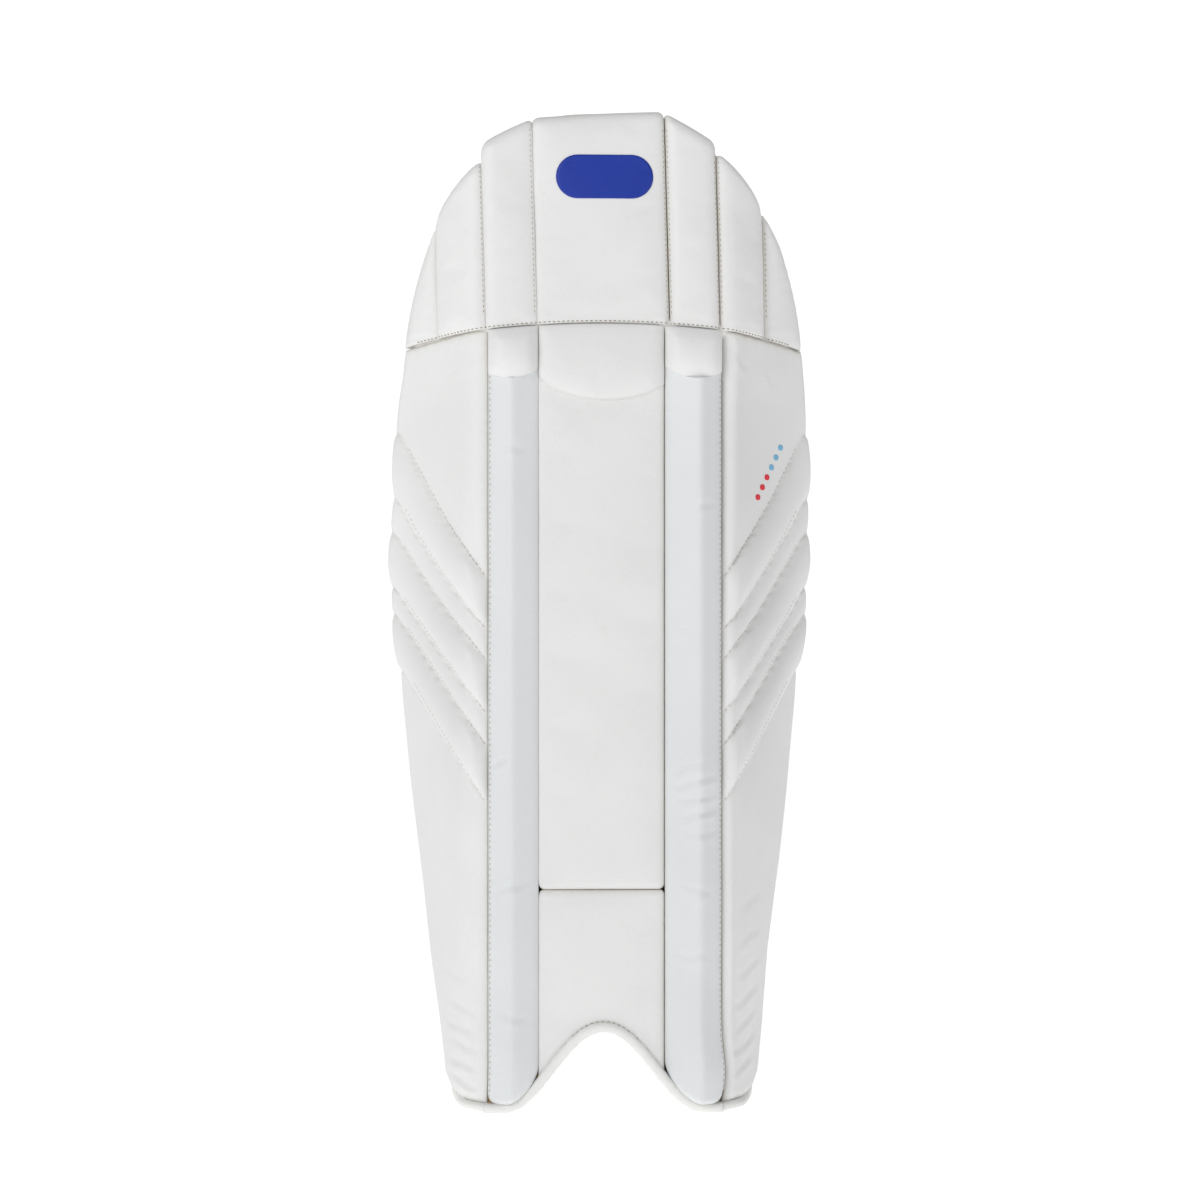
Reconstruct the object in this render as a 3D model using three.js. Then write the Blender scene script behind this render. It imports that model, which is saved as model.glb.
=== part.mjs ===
// Cricket leg pad: a stiffened shin guard with two wrap-round wings, a thigh flap above the knee
// seam, and three hook-and-loop straps that close behind the leg.
// Millimetres, +Z up. The face of the pad looks along -Y and the leg stands on the +Y side.
// The pad rests on z = 0, with the origin under the middle of its width and depth.

import * as THREE from 'three';

// ---- driving sizes -------------------------------------------------------------------------

// Heights above the ground
const HEIGHT = 620;
const SEAM_HEIGHT = 489;
const SEAM_DROP = 14;
const INSTEP_TOP = 137.5;
const ARCH_HEIGHT = 50;
const KNEE_ROLL_SIDE = 26;
const KNEE_ROLL_ARC = 19;
const CANE_CAP_HEIGHT = 31;

// Widths, measured from the centre line as they are seen from the front
const CENTRE_HALF = 39.5;
const CANE_WIDTH = 32;
const ARCH_HALF = 62;
const ARCH_STEPS = 28;
const WING_BASE_HALF = 97.5;
const WING_WIDE_HALF = 132.5;
const WING_TOP_HALF = 128;
const WING_WIDE_FROM = 340;
const WING_WIDE_TO = 400;
const WING_FULLNESS = 0.05;
const FLAP_HALF = 124;
const FLAP_INNER_SEAM = 41;
const FLAP_OUTER_SEAM = 72.5;
const FLAP_SIDE_SEAM = 102;
const FLAP_LEAN = 3.5;
const FLAP_DOME_SPREAD = 2.9;
const FLAP_DOME_ROUND = 0.74;
const FLAP_BINDING_STOP = 0.07;
const FLAP_LINING_STOP = 0.2;

// The wrap of the face round the leg: flat in the middle, a round bend, then a flat wing
const BEND_START = 66;
const BEND_RADIUS = 26;
const WRAP_BASE = THREE.MathUtils.degToRad(64);
const WRAP_TOP = THREE.MathUtils.degToRad(22);
const WRAP_FADE = 2.7;

// Thicknesses
const COVER = 2.4;
const SHIN_FOAM = 10;
const BACKING = 2.6;
const LINING = 1.6;
const WING_FOAM = 6.4;
const FLAP_FOAM = 9;
const BOLSTER = 8.5;
const KNEE_CUSHION = 11;
const RIB = 6;
const BINDING_WIDTH = 4;
const BINDING_PROUD = 1;
const PANEL_CROWN = 2.5;
const CANE_CROWN = 7.5;
const CAP_CROWN = 9;
const KNEE_ROLL_CROWN = 6;
const FLAP_CROWN = 4.5;

// Gaps
const GAP = 0.5;
const CHANNEL_GAP = 1.2;
const WING_GAP = 1.2;
const SEAM_GAP = 1;
const DOME_GAP = 2;
const SEAM_TAPE = 3;

// How far the thigh flap folds back, which its lower edge is cut away for
const FLAP_FOLD_SLOPE = Math.tan(THREE.MathUtils.degToRad(10.5));
const FLAP_FOLD_FADE = 60;

// Ribs of a wing, from the top: lower and upper edge at the cane, lower and upper edge at the rim
const RIBS = [
  { name: 'upper', cane: [297, 329], rim: [382, 422] },
  { name: 'middle', cane: [245, 278], rim: [325, 360] },
  { name: 'lower', cane: [190, 225], rim: [272, 307] },
];

// Straps, at the height of their middle
const STRAPS = [
  { name: 'knee', height: 432 },
  { name: 'calf', height: 290 },
  { name: 'ankle', height: 95 },
];
const STRAP_WIDTH = 42;
const STRAP_THICK = 2.5;
const PATCH_THICK = 1;
const PATCH_MARGIN = 3;
const PATCH_GAP = 0.3;
const HOOK_TO_LOOP = 0.6;
const STRAP_BOW = 0.32;
const STRAP_ROOT = 14;
const STRAP_ROOT_EDGE = 2.5;
const STRAP_CLEAR = 1.5;
const STRAP_START = 0.06;
const STRAP_END = 2.75;
const TAB_CLEAR = 0.8;
const TAB_START = 2.95;
const TAB_END = 2.05;
const PATCH_START = 2.12;
const PATCH_END = 2.7;

// ---- materials -----------------------------------------------------------------------------

const finish = (color, roughness, metalness = 0) =>
  new THREE.MeshStandardMaterial({ color, roughness, metalness });
const FACING = finish(0xe6e6e4, 0.5);
const CANE_FACING = finish(0xe1e5e7, 0.45);
const PIPING = finish(0xeceded, 0.45);
const FOAM = finish(0xd8d4c4, 0.95);
const BOARD = finish(0xbfc0bc, 0.8);
const CANE_WOOD = finish(0xc9a66a, 0.6);
const LINING_CLOTH = finish(0xdcdcd8, 0.9);
const WEBBING = finish(0xe4e4e2, 0.85);
const HOOK_TAPE = finish(0xd2d3d2, 0.7);
const LOOP_TAPE = finish(0xdededc, 0.95);

// ---- the curved space that every padded piece is built in -----------------------------------

const clamp = THREE.MathUtils.clamp;
const lerp = THREE.MathUtils.lerp;

// Outer edges of the layers, behind the face
const FOAM_FRONT = -(COVER + GAP);
const SHIN_FOAM_BACK = FOAM_FRONT - SHIN_FOAM;
const BACKING_FRONT = SHIN_FOAM_BACK - GAP;
const BACKING_BACK = BACKING_FRONT - BACKING;
const LINING_FRONT = BACKING_BACK - GAP;
const LINING_BACK = LINING_FRONT - LINING;
const CUSHION_FRONT = LINING_BACK - GAP;
const WING_FOAM_BACK = FOAM_FRONT - WING_FOAM;
const WING_LINING_FRONT = WING_FOAM_BACK - GAP;
const WING_LINING_BACK = WING_LINING_FRONT - LINING;
const FLAP_FOAM_BACK = FOAM_FRONT - FLAP_FOAM;
const FLAP_LINING_FRONT = FLAP_FOAM_BACK - GAP;
const FLAP_LINING_BACK = FLAP_LINING_FRONT - LINING;
const ROOT_FRONT = WING_LINING_BACK - GAP;
const ROOT_BACK = ROOT_FRONT - STRAP_THICK;

const CANE_INNER = CENTRE_HALF + CHANNEL_GAP;
const CANE_OUTER = CANE_INNER + CANE_WIDTH;
const WING_START = CANE_OUTER + WING_GAP;

function wrapAngle(z) {
  return WRAP_BASE - (WRAP_BASE - WRAP_TOP) * clamp(z / HEIGHT, 0, 1) ** WRAP_FADE;
}

// Depth and slope of the face at distance x from the centre line and height z
function faceAt(x, z) {
  const out = Math.abs(x);
  const wrap = wrapAngle(z);
  const bendEnd = BEND_START + BEND_RADIUS * Math.sin(wrap);
  const angle = out < bendEnd
    ? Math.asin(clamp((out - BEND_START) / BEND_RADIUS, 0, 1))
    : wrap;
  const bendDepth = BEND_RADIUS * (1 - Math.cos(angle));
  const wingDepth = Math.max(0, out - bendEnd) * Math.tan(wrap);
  return { depth: bendDepth + wingDepth, angle };
}

// A point that stands proud of the face by `proud`, or behind it where that is negative
function onFace(x, z, proud) {
  const { depth, angle } = faceAt(x, z);
  const side = Math.sign(x) || 1;
  return new THREE.Vector3(
    x + side * proud * Math.sin(angle),
    depth - proud * Math.cos(angle),
    z,
  );
}

// The same for the thigh flap, whose lower edge is cut away behind so that it can fold back
function onFlap(x, z, proud) {
  const point = onFace(x, z, proud);
  const fade = clamp(1 - (z - seamAt(x)) / FLAP_FOLD_FADE, 0, 1);
  point.z += FLAP_FOLD_SLOPE * Math.max(0, point.y) * fade;
  return point;
}

// ---- outlines ------------------------------------------------------------------------------

function seamAt(x) {
  return SEAM_HEIGHT - SEAM_DROP * (x / WING_TOP_HALF) ** 2;
}

function archAt(x) {
  const part = clamp(Math.abs(x) / ARCH_HALF, 0, 1);
  return ARCH_HEIGHT * Math.cos((Math.PI / 2) * part) ** 2;
}

// Top of the binding round the foot of the shin guard, which is as thick on the slopes of the
// arch as it is on the flat
function baseBindingTopAt(x) {
  const part = clamp(Math.abs(x) / ARCH_HALF, 0, 1);
  const slope = ((Math.PI / 2) * ARCH_HEIGHT * Math.sin(Math.PI * part)) / ARCH_HALF;
  return archAt(x) + BINDING_WIDTH * Math.hypot(1, slope);
}

function footAt(x) {
  return baseBindingTopAt(x) + GAP;
}

function shinTopAt(x) {
  return seamAt(x) - SEAM_TAPE - GAP;
}

function kneeRollBottomAt(x) {
  const across = clamp(x / CENTRE_HALF, -1, 1);
  return shinTopAt(x) - KNEE_ROLL_SIDE - KNEE_ROLL_ARC * Math.cos((Math.PI / 2) * across);
}

function wingRimAt(z) {
  const rise = clamp(z / WING_WIDE_FROM, 0, 1);
  const full = rise + WING_FULLNESS * Math.sin(Math.PI * rise);
  const fall = Math.max(0, z - WING_WIDE_TO) / (SEAM_HEIGHT - SEAM_DROP - WING_WIDE_TO);
  return lerp(WING_BASE_HALF, WING_WIDE_HALF, full)
    - (WING_WIDE_HALF - WING_TOP_HALF) * fall ** 2;
}

// The dome of the thigh flap stands on the ends of the knee seam. At a distance inside its
// outline, this is its height at x, and its half width at z
const FLAP_BASE = SEAM_HEIGHT - SEAM_DROP;

function flapOutlineAt(x, inset = 0) {
  const across = clamp(Math.abs(x) / (FLAP_HALF - inset), 0, 1);
  const dome = (1 - across ** FLAP_DOME_SPREAD) ** FLAP_DOME_ROUND;
  return FLAP_BASE + (HEIGHT - FLAP_BASE - inset) * dome;
}

function flapEdgeAt(z, inset = 0) {
  const rise = clamp((z - FLAP_BASE) / (HEIGHT - FLAP_BASE - inset), 0, 1);
  const across = (1 - rise ** (1 / FLAP_DOME_ROUND)) ** (1 / FLAP_DOME_SPREAD);
  return (FLAP_HALF - inset) * across;
}

function flapLeanAt(z) {
  return -FLAP_LEAN * (z - SEAM_HEIGHT) / (HEIGHT - SEAM_HEIGHT);
}

// ---- closed solids -------------------------------------------------------------------------

const pad = new THREE.Group();

function add(name, geometry, material) {
  const mesh = new THREE.Mesh(geometry, material);
  mesh.name = name;
  pad.add(mesh);
}

function signedVolume(points, index) {
  let volume = 0;
  for (let i = 0; i < index.length; i += 3) {
    const [a, b, c] = [points[index[i]], points[index[i + 1]], points[index[i + 2]]];
    volume += a.dot(new THREE.Vector3().crossVectors(b, c)) / 6;
  }
  return volume;
}

// A slab on a grid: place(a, b, side) gives the point at a across and b up, both 0 to 1, on
// side 0 (leg) or side 1 (face)
function slab(across, up, place) {
  const row = across + 1;
  const layer = row * (up + 1);
  const points = [];
  for (const side of [0, 1]) {
    for (let j = 0; j <= up; j += 1) {
      for (let i = 0; i <= across; i += 1) {
        points.push(place(i / across, j / up, side));
      }
    }
  }
  const index = [];
  const quad = (a, b, c, d) => index.push(a, b, c, a, c, d);
  for (let j = 0; j < up; j += 1) {
    for (let i = 0; i < across; i += 1) {
      const k = j * row + i;
      quad(layer + k, layer + k + 1, layer + k + row + 1, layer + k + row);
      quad(k, k + row, k + row + 1, k + 1);
    }
  }
  for (let i = 0; i < across; i += 1) {
    const top = up * row + i;
    quad(layer + i + 1, layer + i, i, i + 1);
    quad(layer + top, layer + top + 1, top + 1, top);
  }
  for (let j = 0; j < up; j += 1) {
    const left = j * row;
    const right = left + across;
    quad(layer + left, layer + left + row, left + row, left);
    quad(layer + right + row, layer + right, right, right + row);
  }
  if (signedVolume(points, index) < 0) {
    index.reverse();
  }
  const geometry = new THREE.BufferGeometry().setFromPoints(points);
  geometry.setIndex(index);
  geometry.computeVertexNormals();
  return geometry;
}

const constant = (value) => () => value;
const asFunction = (value) => (typeof value === 'function' ? value : constant(value));

// The edges by height and by x depend on each other, so a point on both is closed in on
const EDGE_PASSES = 4;

// A padded panel: left and right edges by height, bottom and top edges by x, and its back and
// front by how far they stand proud of the face
function panel({ left, right, bottom, top, back, front, across = 4, up = 8, on = onFace }) {
  const [leftAt, rightAt, bottomAt, topAt, frontAt] = [left, right, bottom, top, front]
    .map(asFunction);
  const low = bottomAt((leftAt(0) + rightAt(0)) / 2);
  const high = topAt((leftAt(0) + rightAt(0)) / 2);
  return slab(across, up, (a, b, side) => {
    let z = lerp(low, high, b);
    let x = 0;
    for (let pass = 0; pass < EDGE_PASSES; pass += 1) {
      x = lerp(leftAt(z), rightAt(z), a);
      z = lerp(bottomAt(x), topAt(x), b);
    }
    return on(x, z, side ? frontAt(a, b) : back);
  });
}

// A strip with mitred corners that follows an edge: path is a list of points, x across and y up,
// along its middle
function edgeStrip(path, width, back, front) {
  const last = path.length - 1;
  const normals = path.slice(1).map((point, i) => {
    const along = point.clone().sub(path[i]).normalize();
    return new THREE.Vector2(-along.y, along.x);
  });
  return slab(last, 1, (a, b, side) => {
    const i = Math.round(a * last);
    const before = normals[Math.max(0, i - 1)];
    const after = normals[Math.min(last - 1, i)];
    const shift = ((b - 0.5) * width) / (1 + before.dot(after));
    const point = path[i].clone().addScaledVector(before, shift).addScaledVector(after, shift);
    return onFace(point.x, point.y, side ? front : back);
  });
}

const ramp = (count, from, to) =>
  Array.from({ length: count + 1 }, (_, i) => lerp(from, to, i / count));

// Height of a pillow and of a roof-shaped ridge, from 0 at the sides to 1 in the middle
const pillow = (a) => Math.sqrt(Math.max(0, 4 * a * (1 - a)));
const ridge = (a) => 1 - Math.abs(2 * a - 1);
const crowned = (crown) => (a, b) => crown * Math.min(pillow(a), pillow(b));

// Near and far edge on one side of the pad, as left and right
function span(side, near, far) {
  const [nearAt, farAt] = [near, far].map(asFunction);
  return side > 0
    ? { left: nearAt, right: farAt }
    : { left: (z) => -farAt(z), right: (z) => -nearAt(z) };
}

const SIDES = [{ name: 'left', sign: -1 }, { name: 'right', sign: 1 }];

// ---- shin guard ----------------------------------------------------------------------------

function addShinLayers() {
  const layer = (back, front) => panel({
    left: -CANE_OUTER, right: CANE_OUTER, bottom: footAt, top: shinTopAt,
    back, front, across: ARCH_STEPS, up: 4,
  });
  add('shin_backing_board', layer(BACKING_BACK, BACKING_FRONT), BOARD);
  add('shin_lining', layer(LINING_BACK, LINING_FRONT), LINING_CLOTH);
  const seamPath = ramp(8, -CANE_OUTER, CANE_OUTER)
    .map((x) => new THREE.Vector2(x, seamAt(x) - SEAM_GAP / 2 - SEAM_TAPE / 2));
  add('knee_seam_tape', edgeStrip(seamPath, SEAM_TAPE - SEAM_GAP, SHIN_FOAM_BACK / 2, -COVER),
    LINING_CLOTH);
}

function addCentrePanels() {
  const half = CENTRE_HALF;
  const main = { left: -half, right: half, bottom: INSTEP_TOP + GAP };
  const belowRoll = (x) => kneeRollBottomAt(x) - CHANNEL_GAP;
  add('centre_panel_cover', panel({
    ...main, top: belowRoll, back: -COVER, front: crowned(PANEL_CROWN), across: 6, up: 8,
  }), FACING);
  add('centre_panel_foam', panel({
    ...main, top: belowRoll, back: SHIN_FOAM_BACK, front: FOAM_FRONT, across: 6, up: 1,
  }), FOAM);

  const roll = { left: -half, right: half, bottom: kneeRollBottomAt, top: shinTopAt };
  add('knee_roll_cover', panel({
    ...roll, back: -COVER, front: crowned(KNEE_ROLL_CROWN), across: 8, up: 4,
  }), FACING);
  add('knee_roll_foam', panel({
    ...roll, back: SHIN_FOAM_BACK, front: FOAM_FRONT, across: 8, up: 1,
  }), FOAM);

  add('instep_panel', panel({
    left: -half, right: half, bottom: footAt, top: INSTEP_TOP - GAP,
    back: SHIN_FOAM_BACK, front: crowned(PANEL_CROWN), across: 16, up: 4,
  }), FACING);
}

function addCane({ name, sign }) {
  const capBottom = (x) => shinTopAt(x) - CANE_CAP_HEIGHT;
  const edges = span(sign, CANE_INNER, CANE_OUTER);
  const roof = (crown) => (a, b) => crown * Math.min(ridge(a), pillow(b) * 2);
  add(`cane_cover_${name}`, panel({
    ...edges, bottom: footAt, top: (x) => capBottom(x) - GAP,
    back: -COVER, front: roof(CANE_CROWN), across: 4, up: 8,
  }), CANE_FACING);
  add(`cane_cap_${name}`, panel({
    ...edges, bottom: capBottom, top: shinTopAt,
    back: -COVER, front: crowned(CAP_CROWN), across: 4, up: 4,
  }), FACING);
  add(`cane_rods_${name}`, panel({
    ...edges, bottom: footAt, top: shinTopAt,
    back: SHIN_FOAM_BACK, front: FOAM_FRONT, across: 4, up: 4,
  }), CANE_WOOD);
}

function addLegSideCushions() {
  const cushionWidth = 84;
  const cushionTop = SEAM_HEIGHT - 24;
  const cushionHeight = 88;
  add('knee_cushion', panel({
    left: -cushionWidth / 2, right: cushionWidth / 2,
    bottom: cushionTop - cushionHeight, top: cushionTop,
    back: CUSHION_FRONT - KNEE_CUSHION, front: CUSHION_FRONT, across: 4, up: 2,
  }), LINING_CLOTH);
  const bolsterInner = 16;
  const bolsterOuter = 50;
  const bolsterBottom = 62;
  const bolsterTop = cushionTop - cushionHeight - 8;
  for (const { name, sign } of SIDES) {
    add(`leg_bolster_${name}`, panel({
      ...span(sign, bolsterInner, bolsterOuter), bottom: bolsterBottom, top: bolsterTop,
      back: CUSHION_FRONT - BOLSTER, front: CUSHION_FRONT, across: 2, up: 6,
    }), LINING_CLOTH);
  }
}

function addBaseBinding() {
  add('base_binding', panel({
    left: -CANE_OUTER, right: CANE_OUTER, bottom: archAt, top: baseBindingTopAt,
    back: LINING_BACK, front: BINDING_PROUD, across: ARCH_STEPS, up: 1,
  }), PIPING);
}

// ---- wings ---------------------------------------------------------------------------------

function addWing({ name, sign }) {
  const rim = (z) => wingRimAt(z) - BINDING_WIDTH - GAP;
  const layer = (back, front, across, up) => panel({
    ...span(sign, WING_START, rim), bottom: BINDING_WIDTH + GAP, top: shinTopAt,
    back, front, across, up,
  });
  add(`wing_cover_${name}`, layer(-COVER, 0, 6, 12), FACING);
  add(`wing_foam_${name}`, layer(WING_FOAM_BACK, FOAM_FRONT, 6, 12), FOAM);
  add(`wing_lining_${name}`, layer(WING_LINING_BACK, WING_LINING_FRONT, 6, 12), LINING_CLOTH);

  for (const { name: place, cane, rim: ends } of RIBS) {
    const inset = CHANNEL_GAP;
    add(`wing_rib_${place}_${name}`, slab(6, 2, (a, b, side) => {
      const share = sign > 0 ? a : 1 - a;
      const z = lerp(lerp(cane[0], ends[0], share), lerp(cane[1], ends[1], share), b);
      const x = sign * lerp(WING_START + inset, rim(z) - inset, share);
      const proud = GAP + RIB * Math.max(0.5, pillow(b));
      return onFace(x, z, side ? proud : GAP);
    }), FACING);
  }

  const middle = (z) => wingRimAt(z) - BINDING_WIDTH / 2;
  const bottom = BINDING_WIDTH / 2;
  const foot = ramp(3, WING_START, middle(bottom))
    .map((x) => new THREE.Vector2(sign * x, bottom));
  const rise = ramp(13, bottom, shinTopAt(WING_TOP_HALF)).slice(1)
    .map((z) => new THREE.Vector2(sign * middle(z), z));
  const path = [...foot, ...rise];
  add(`wing_binding_${name}`,
    edgeStrip(path, BINDING_WIDTH, WING_LINING_BACK, BINDING_PROUD), PIPING);
}

// ---- thigh flap ----------------------------------------------------------------------------

function addFlap() {
  const bottom = (x) => seamAt(x) + SEAM_GAP;
  const inset = BINDING_WIDTH + DOME_GAP;
  const top = (x) => flapOutlineAt(x, inset);
  const half = CHANNEL_GAP / 2;
  const leaning = (x) => (z) => x + flapLeanAt(z);
  const channel = (left, right, back, front, up = 6) => panel({
    left: leaning(left + half), right: leaning(right - half), bottom, top,
    back, front, across: 8, up, on: onFlap,
  });
  const channels = [
    ['centre', -FLAP_INNER_SEAM, FLAP_INNER_SEAM],
    ['inner_left', -FLAP_OUTER_SEAM, -FLAP_INNER_SEAM],
    ['inner_right', FLAP_INNER_SEAM, FLAP_OUTER_SEAM],
  ];
  for (const [name, left, right] of channels) {
    add(`flap_cover_${name}`, channel(left, right, -COVER, crowned(FLAP_CROWN)), FACING);
    add(`flap_foam_${name}`, channel(left, right, FLAP_FOAM_BACK, FOAM_FRONT), FOAM);
  }
  const outerFront = crowned(FLAP_CROWN);
  add('flap_cover_outer_left',
    channel(-FLAP_SIDE_SEAM, -FLAP_OUTER_SEAM, FLAP_FOAM_BACK, outerFront), FACING);
  add('flap_cover_outer_right',
    channel(FLAP_OUTER_SEAM, FLAP_SIDE_SEAM, FLAP_FOAM_BACK, outerFront), FACING);

  const sideTop = flapOutlineAt(FLAP_SIDE_SEAM + BINDING_WIDTH, inset);
  for (const { name, sign } of SIDES) {
    const edge = (z) => flapEdgeAt(z, inset) - sign * flapLeanAt(z);
    const { left, right } = span(sign, FLAP_SIDE_SEAM + half, edge);
    add(`flap_cover_side_${name}`, panel({
      left: (z) => left(z) + flapLeanAt(z),
      right: (z) => right(z) + flapLeanAt(z),
      bottom, top: sideTop, back: FLAP_FOAM_BACK, front: crowned(FLAP_CROWN / 2),
      across: 2, up: 6, on: onFlap,
    }), FACING);
  }

  // Along the dome, columns close up towards its steep ends, which stop short of the seam
  const domeX = (a, within, stop) =>
    (FLAP_HALF - within) * Math.sin(lerp(-1, 1, a) * (Math.PI / 2 - stop));
  add('flap_lining', slab(28, 6, (a, b, side) => {
    const x = domeX(a, inset, FLAP_LINING_STOP);
    const z = lerp(bottom(x), top(x), b);
    return onFlap(x, z, side ? FLAP_LINING_FRONT : FLAP_LINING_BACK);
  }), LINING_CLOTH);
  add('flap_binding', slab(40, 1, (a, b, side) => {
    const within = lerp(BINDING_WIDTH, 0, b);
    const x = domeX(a, within, FLAP_BINDING_STOP);
    return onFlap(x, flapOutlineAt(x, within), side ? BINDING_PROUD : FLAP_LINING_BACK);
  }), PIPING);
}

// ---- straps --------------------------------------------------------------------------------

// The bow of a strap behind the leg: half an ellipse between the two wings
function strapBow(height) {
  const ends = [-0.5, 0.5].map((part) => {
    const z = height + part * STRAP_WIDTH;
    return onFace(wingRimAt(z) - STRAP_ROOT_EDGE, z, ROOT_BACK);
  });
  const half = Math.min(...ends.map((end) => end.x)) - STRAP_CLEAR;
  const start = Math.max(...ends.map((end) => end.y)) + STRAP_CLEAR;
  const bow = STRAP_BOW * half;
  return (turn, z, outward) => {
    const normal = new THREE.Vector2(-bow * Math.cos(turn), half * Math.sin(turn)).normalize();
    return new THREE.Vector3(
      -half * Math.cos(turn) + outward * normal.x,
      start + bow * Math.sin(turn) + outward * normal.y,
      z,
    );
  };
}

function addStrap({ name, height }) {
  const bow = strapBow(height);
  const low = height - STRAP_WIDTH / 2;
  const high = height + STRAP_WIDTH / 2;
  const inside = STRAP_THICK / 2;
  const hookFront = inside + PATCH_GAP + PATCH_THICK;
  const loopBack = hookFront + HOOK_TO_LOOP;
  const tabBack = loopBack + PATCH_THICK + PATCH_GAP;
  const band = (from, to, margin, outer, inner, along) => slab(along, 1, (a, b, side) =>
    bow(lerp(from, to, a), lerp(low + margin, high - margin, b), side ? inner : outer));

  add(`strap_${name}`, band(STRAP_START, STRAP_END, 0, inside, -inside, 16), WEBBING);
  add(`hook_patch_${name}`,
    band(PATCH_START, PATCH_END, PATCH_MARGIN, -inside - PATCH_GAP, -hookFront, 5), HOOK_TAPE);
  add(`loop_patch_${name}`,
    band(PATCH_START, PATCH_END, PATCH_MARGIN, -loopBack, -loopBack - PATCH_THICK, 5),
    LOOP_TAPE);

  add(`strap_root_${name}`, panel({
    left: (z) => STRAP_ROOT_EDGE - wingRimAt(z), right: (z) => STRAP_ROOT - wingRimAt(z),
    bottom: low, top: high, back: ROOT_BACK, front: ROOT_FRONT, across: 1, up: 2,
  }), WEBBING);

  // The tab lies along the wing's lining, then turns in behind the leg
  const middleOfTab = -tabBack - STRAP_THICK / 2;
  const middleOfRoot = (ROOT_FRONT + ROOT_BACK) / 2 - TAB_CLEAR;
  add(`strap_tab_${name}`, slab(14, 2, (a, b, side) => {
    const z = lerp(low, high, b);
    const onWing = [STRAP_ROOT, STRAP_ROOT / 2, STRAP_ROOT_EDGE]
      .map((inset) => onFace(wingRimAt(z) - inset, z, middleOfRoot));
    const behindLeg = ramp(4, TAB_START, TAB_END).map((turn) => bow(turn, z, middleOfTab));
    const path = new THREE.CatmullRomCurve3([...onWing, ...behindLeg], false, 'centripetal');
    const along = path.getTangent(a);
    const shift = (side ? -0.5 : 0.5) * STRAP_THICK;
    return path.getPoint(a).add(new THREE.Vector3(along.y, -along.x, 0).multiplyScalar(shift));
  }), WEBBING);
}

// ---- the whole pad -------------------------------------------------------------------------

addShinLayers();
addCentrePanels();
SIDES.forEach(addCane);
addLegSideCushions();
addBaseBinding();
SIDES.forEach(addWing);
addFlap();
STRAPS.forEach(addStrap);

// Bring the middle of the depth over the origin
const box = new THREE.Box3().setFromObject(pad);
pad.position.y = -(box.min.y + box.max.y) / 2;

export default pad;
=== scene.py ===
"""The looks of a white cricket leg pad: stuffed panels, canes, quilted wings, thigh flap, linings
and straps.

Sizes are in millimetres in the pad's own layout (x across, z up, proud out from the face) and
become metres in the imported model's frame when a piece is made.
"""

import math

import bmesh
import bpy
import numpy as np
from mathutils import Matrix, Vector
from mathutils.bvhtree import BVHTree


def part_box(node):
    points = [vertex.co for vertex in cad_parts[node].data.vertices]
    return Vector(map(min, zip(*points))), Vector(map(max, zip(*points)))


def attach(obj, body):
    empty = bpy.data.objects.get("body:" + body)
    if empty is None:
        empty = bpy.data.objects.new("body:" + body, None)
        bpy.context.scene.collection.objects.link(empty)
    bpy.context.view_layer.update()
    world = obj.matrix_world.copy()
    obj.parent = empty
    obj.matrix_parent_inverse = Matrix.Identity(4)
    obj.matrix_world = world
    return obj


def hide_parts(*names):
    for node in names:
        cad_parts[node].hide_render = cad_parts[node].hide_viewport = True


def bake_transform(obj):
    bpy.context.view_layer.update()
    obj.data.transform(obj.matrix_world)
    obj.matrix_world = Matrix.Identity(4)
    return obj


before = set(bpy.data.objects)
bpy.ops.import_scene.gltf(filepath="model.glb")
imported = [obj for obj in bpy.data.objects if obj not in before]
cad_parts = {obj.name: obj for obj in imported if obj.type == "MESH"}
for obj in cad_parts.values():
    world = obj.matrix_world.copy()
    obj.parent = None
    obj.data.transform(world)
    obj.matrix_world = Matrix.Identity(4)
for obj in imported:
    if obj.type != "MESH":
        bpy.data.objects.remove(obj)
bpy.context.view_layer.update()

MM = 0.001
SIDES = (("left", -1), ("right", 1))

# ---- the pad's layout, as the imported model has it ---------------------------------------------

HEIGHT, SEAM_HEIGHT, SEAM_DROP = 620, 487.5, 13
INSTEP_TOP, ARCH_HEIGHT, ARCH_HALF = 137.5, 50, 62
KNEE_ROLL_SIDE, KNEE_ROLL_ARC = 26, 19
CENTRE_HALF, CANE_OUTER, WING_START = 39.5, 72.7, 73.9
# Where the sewn seams beside each cane really pull to: centre side, wing side
CANE_SEAMS = {"left": (40.1, 71.4), "right": (37.9, 73.3)}
WING_BASE_HALF, WING_WIDE_HALF, WING_TOP_HALF = 97.5, 132.5, 128
WING_WIDE_FROM, WING_WIDE_TO, WING_FULLNESS = 340, 400, 0.05
FLAP_HALF, FLAP_LEAN, FLAP_SPREAD, FLAP_ROUND = 124, 3.5, 2.9, 0.74
FLAP_SEAMS, FLAP_SIDE_SEAM = (-72.5, -41, 41, 72.5), 102
BEND_START, BEND_RADIUS = 66, 26
WRAP_BASE, WRAP_TOP, WRAP_FADE = math.radians(64), math.radians(22), 2.7
FLAP_FOLD_SLOPE, FLAP_FOLD_FADE = math.tan(math.radians(10.5)), 60
SHIN_BACK, WING_BACK, FLAP_BACK = -12.9, -11.4, -11.9
STRAPS = {"knee": 432, "calf": 290, "ankle": 95}
STRAP_WIDTH, STRAP_THICK, STRAP_BOW = 42, 2.5, 0.32
BACKING_FRONT = 13.4
FACE_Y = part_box("shin_backing_board")[0].y / MM - BACKING_FRONT
FLAP_BASE = SEAM_HEIGHT - SEAM_DROP

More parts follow.
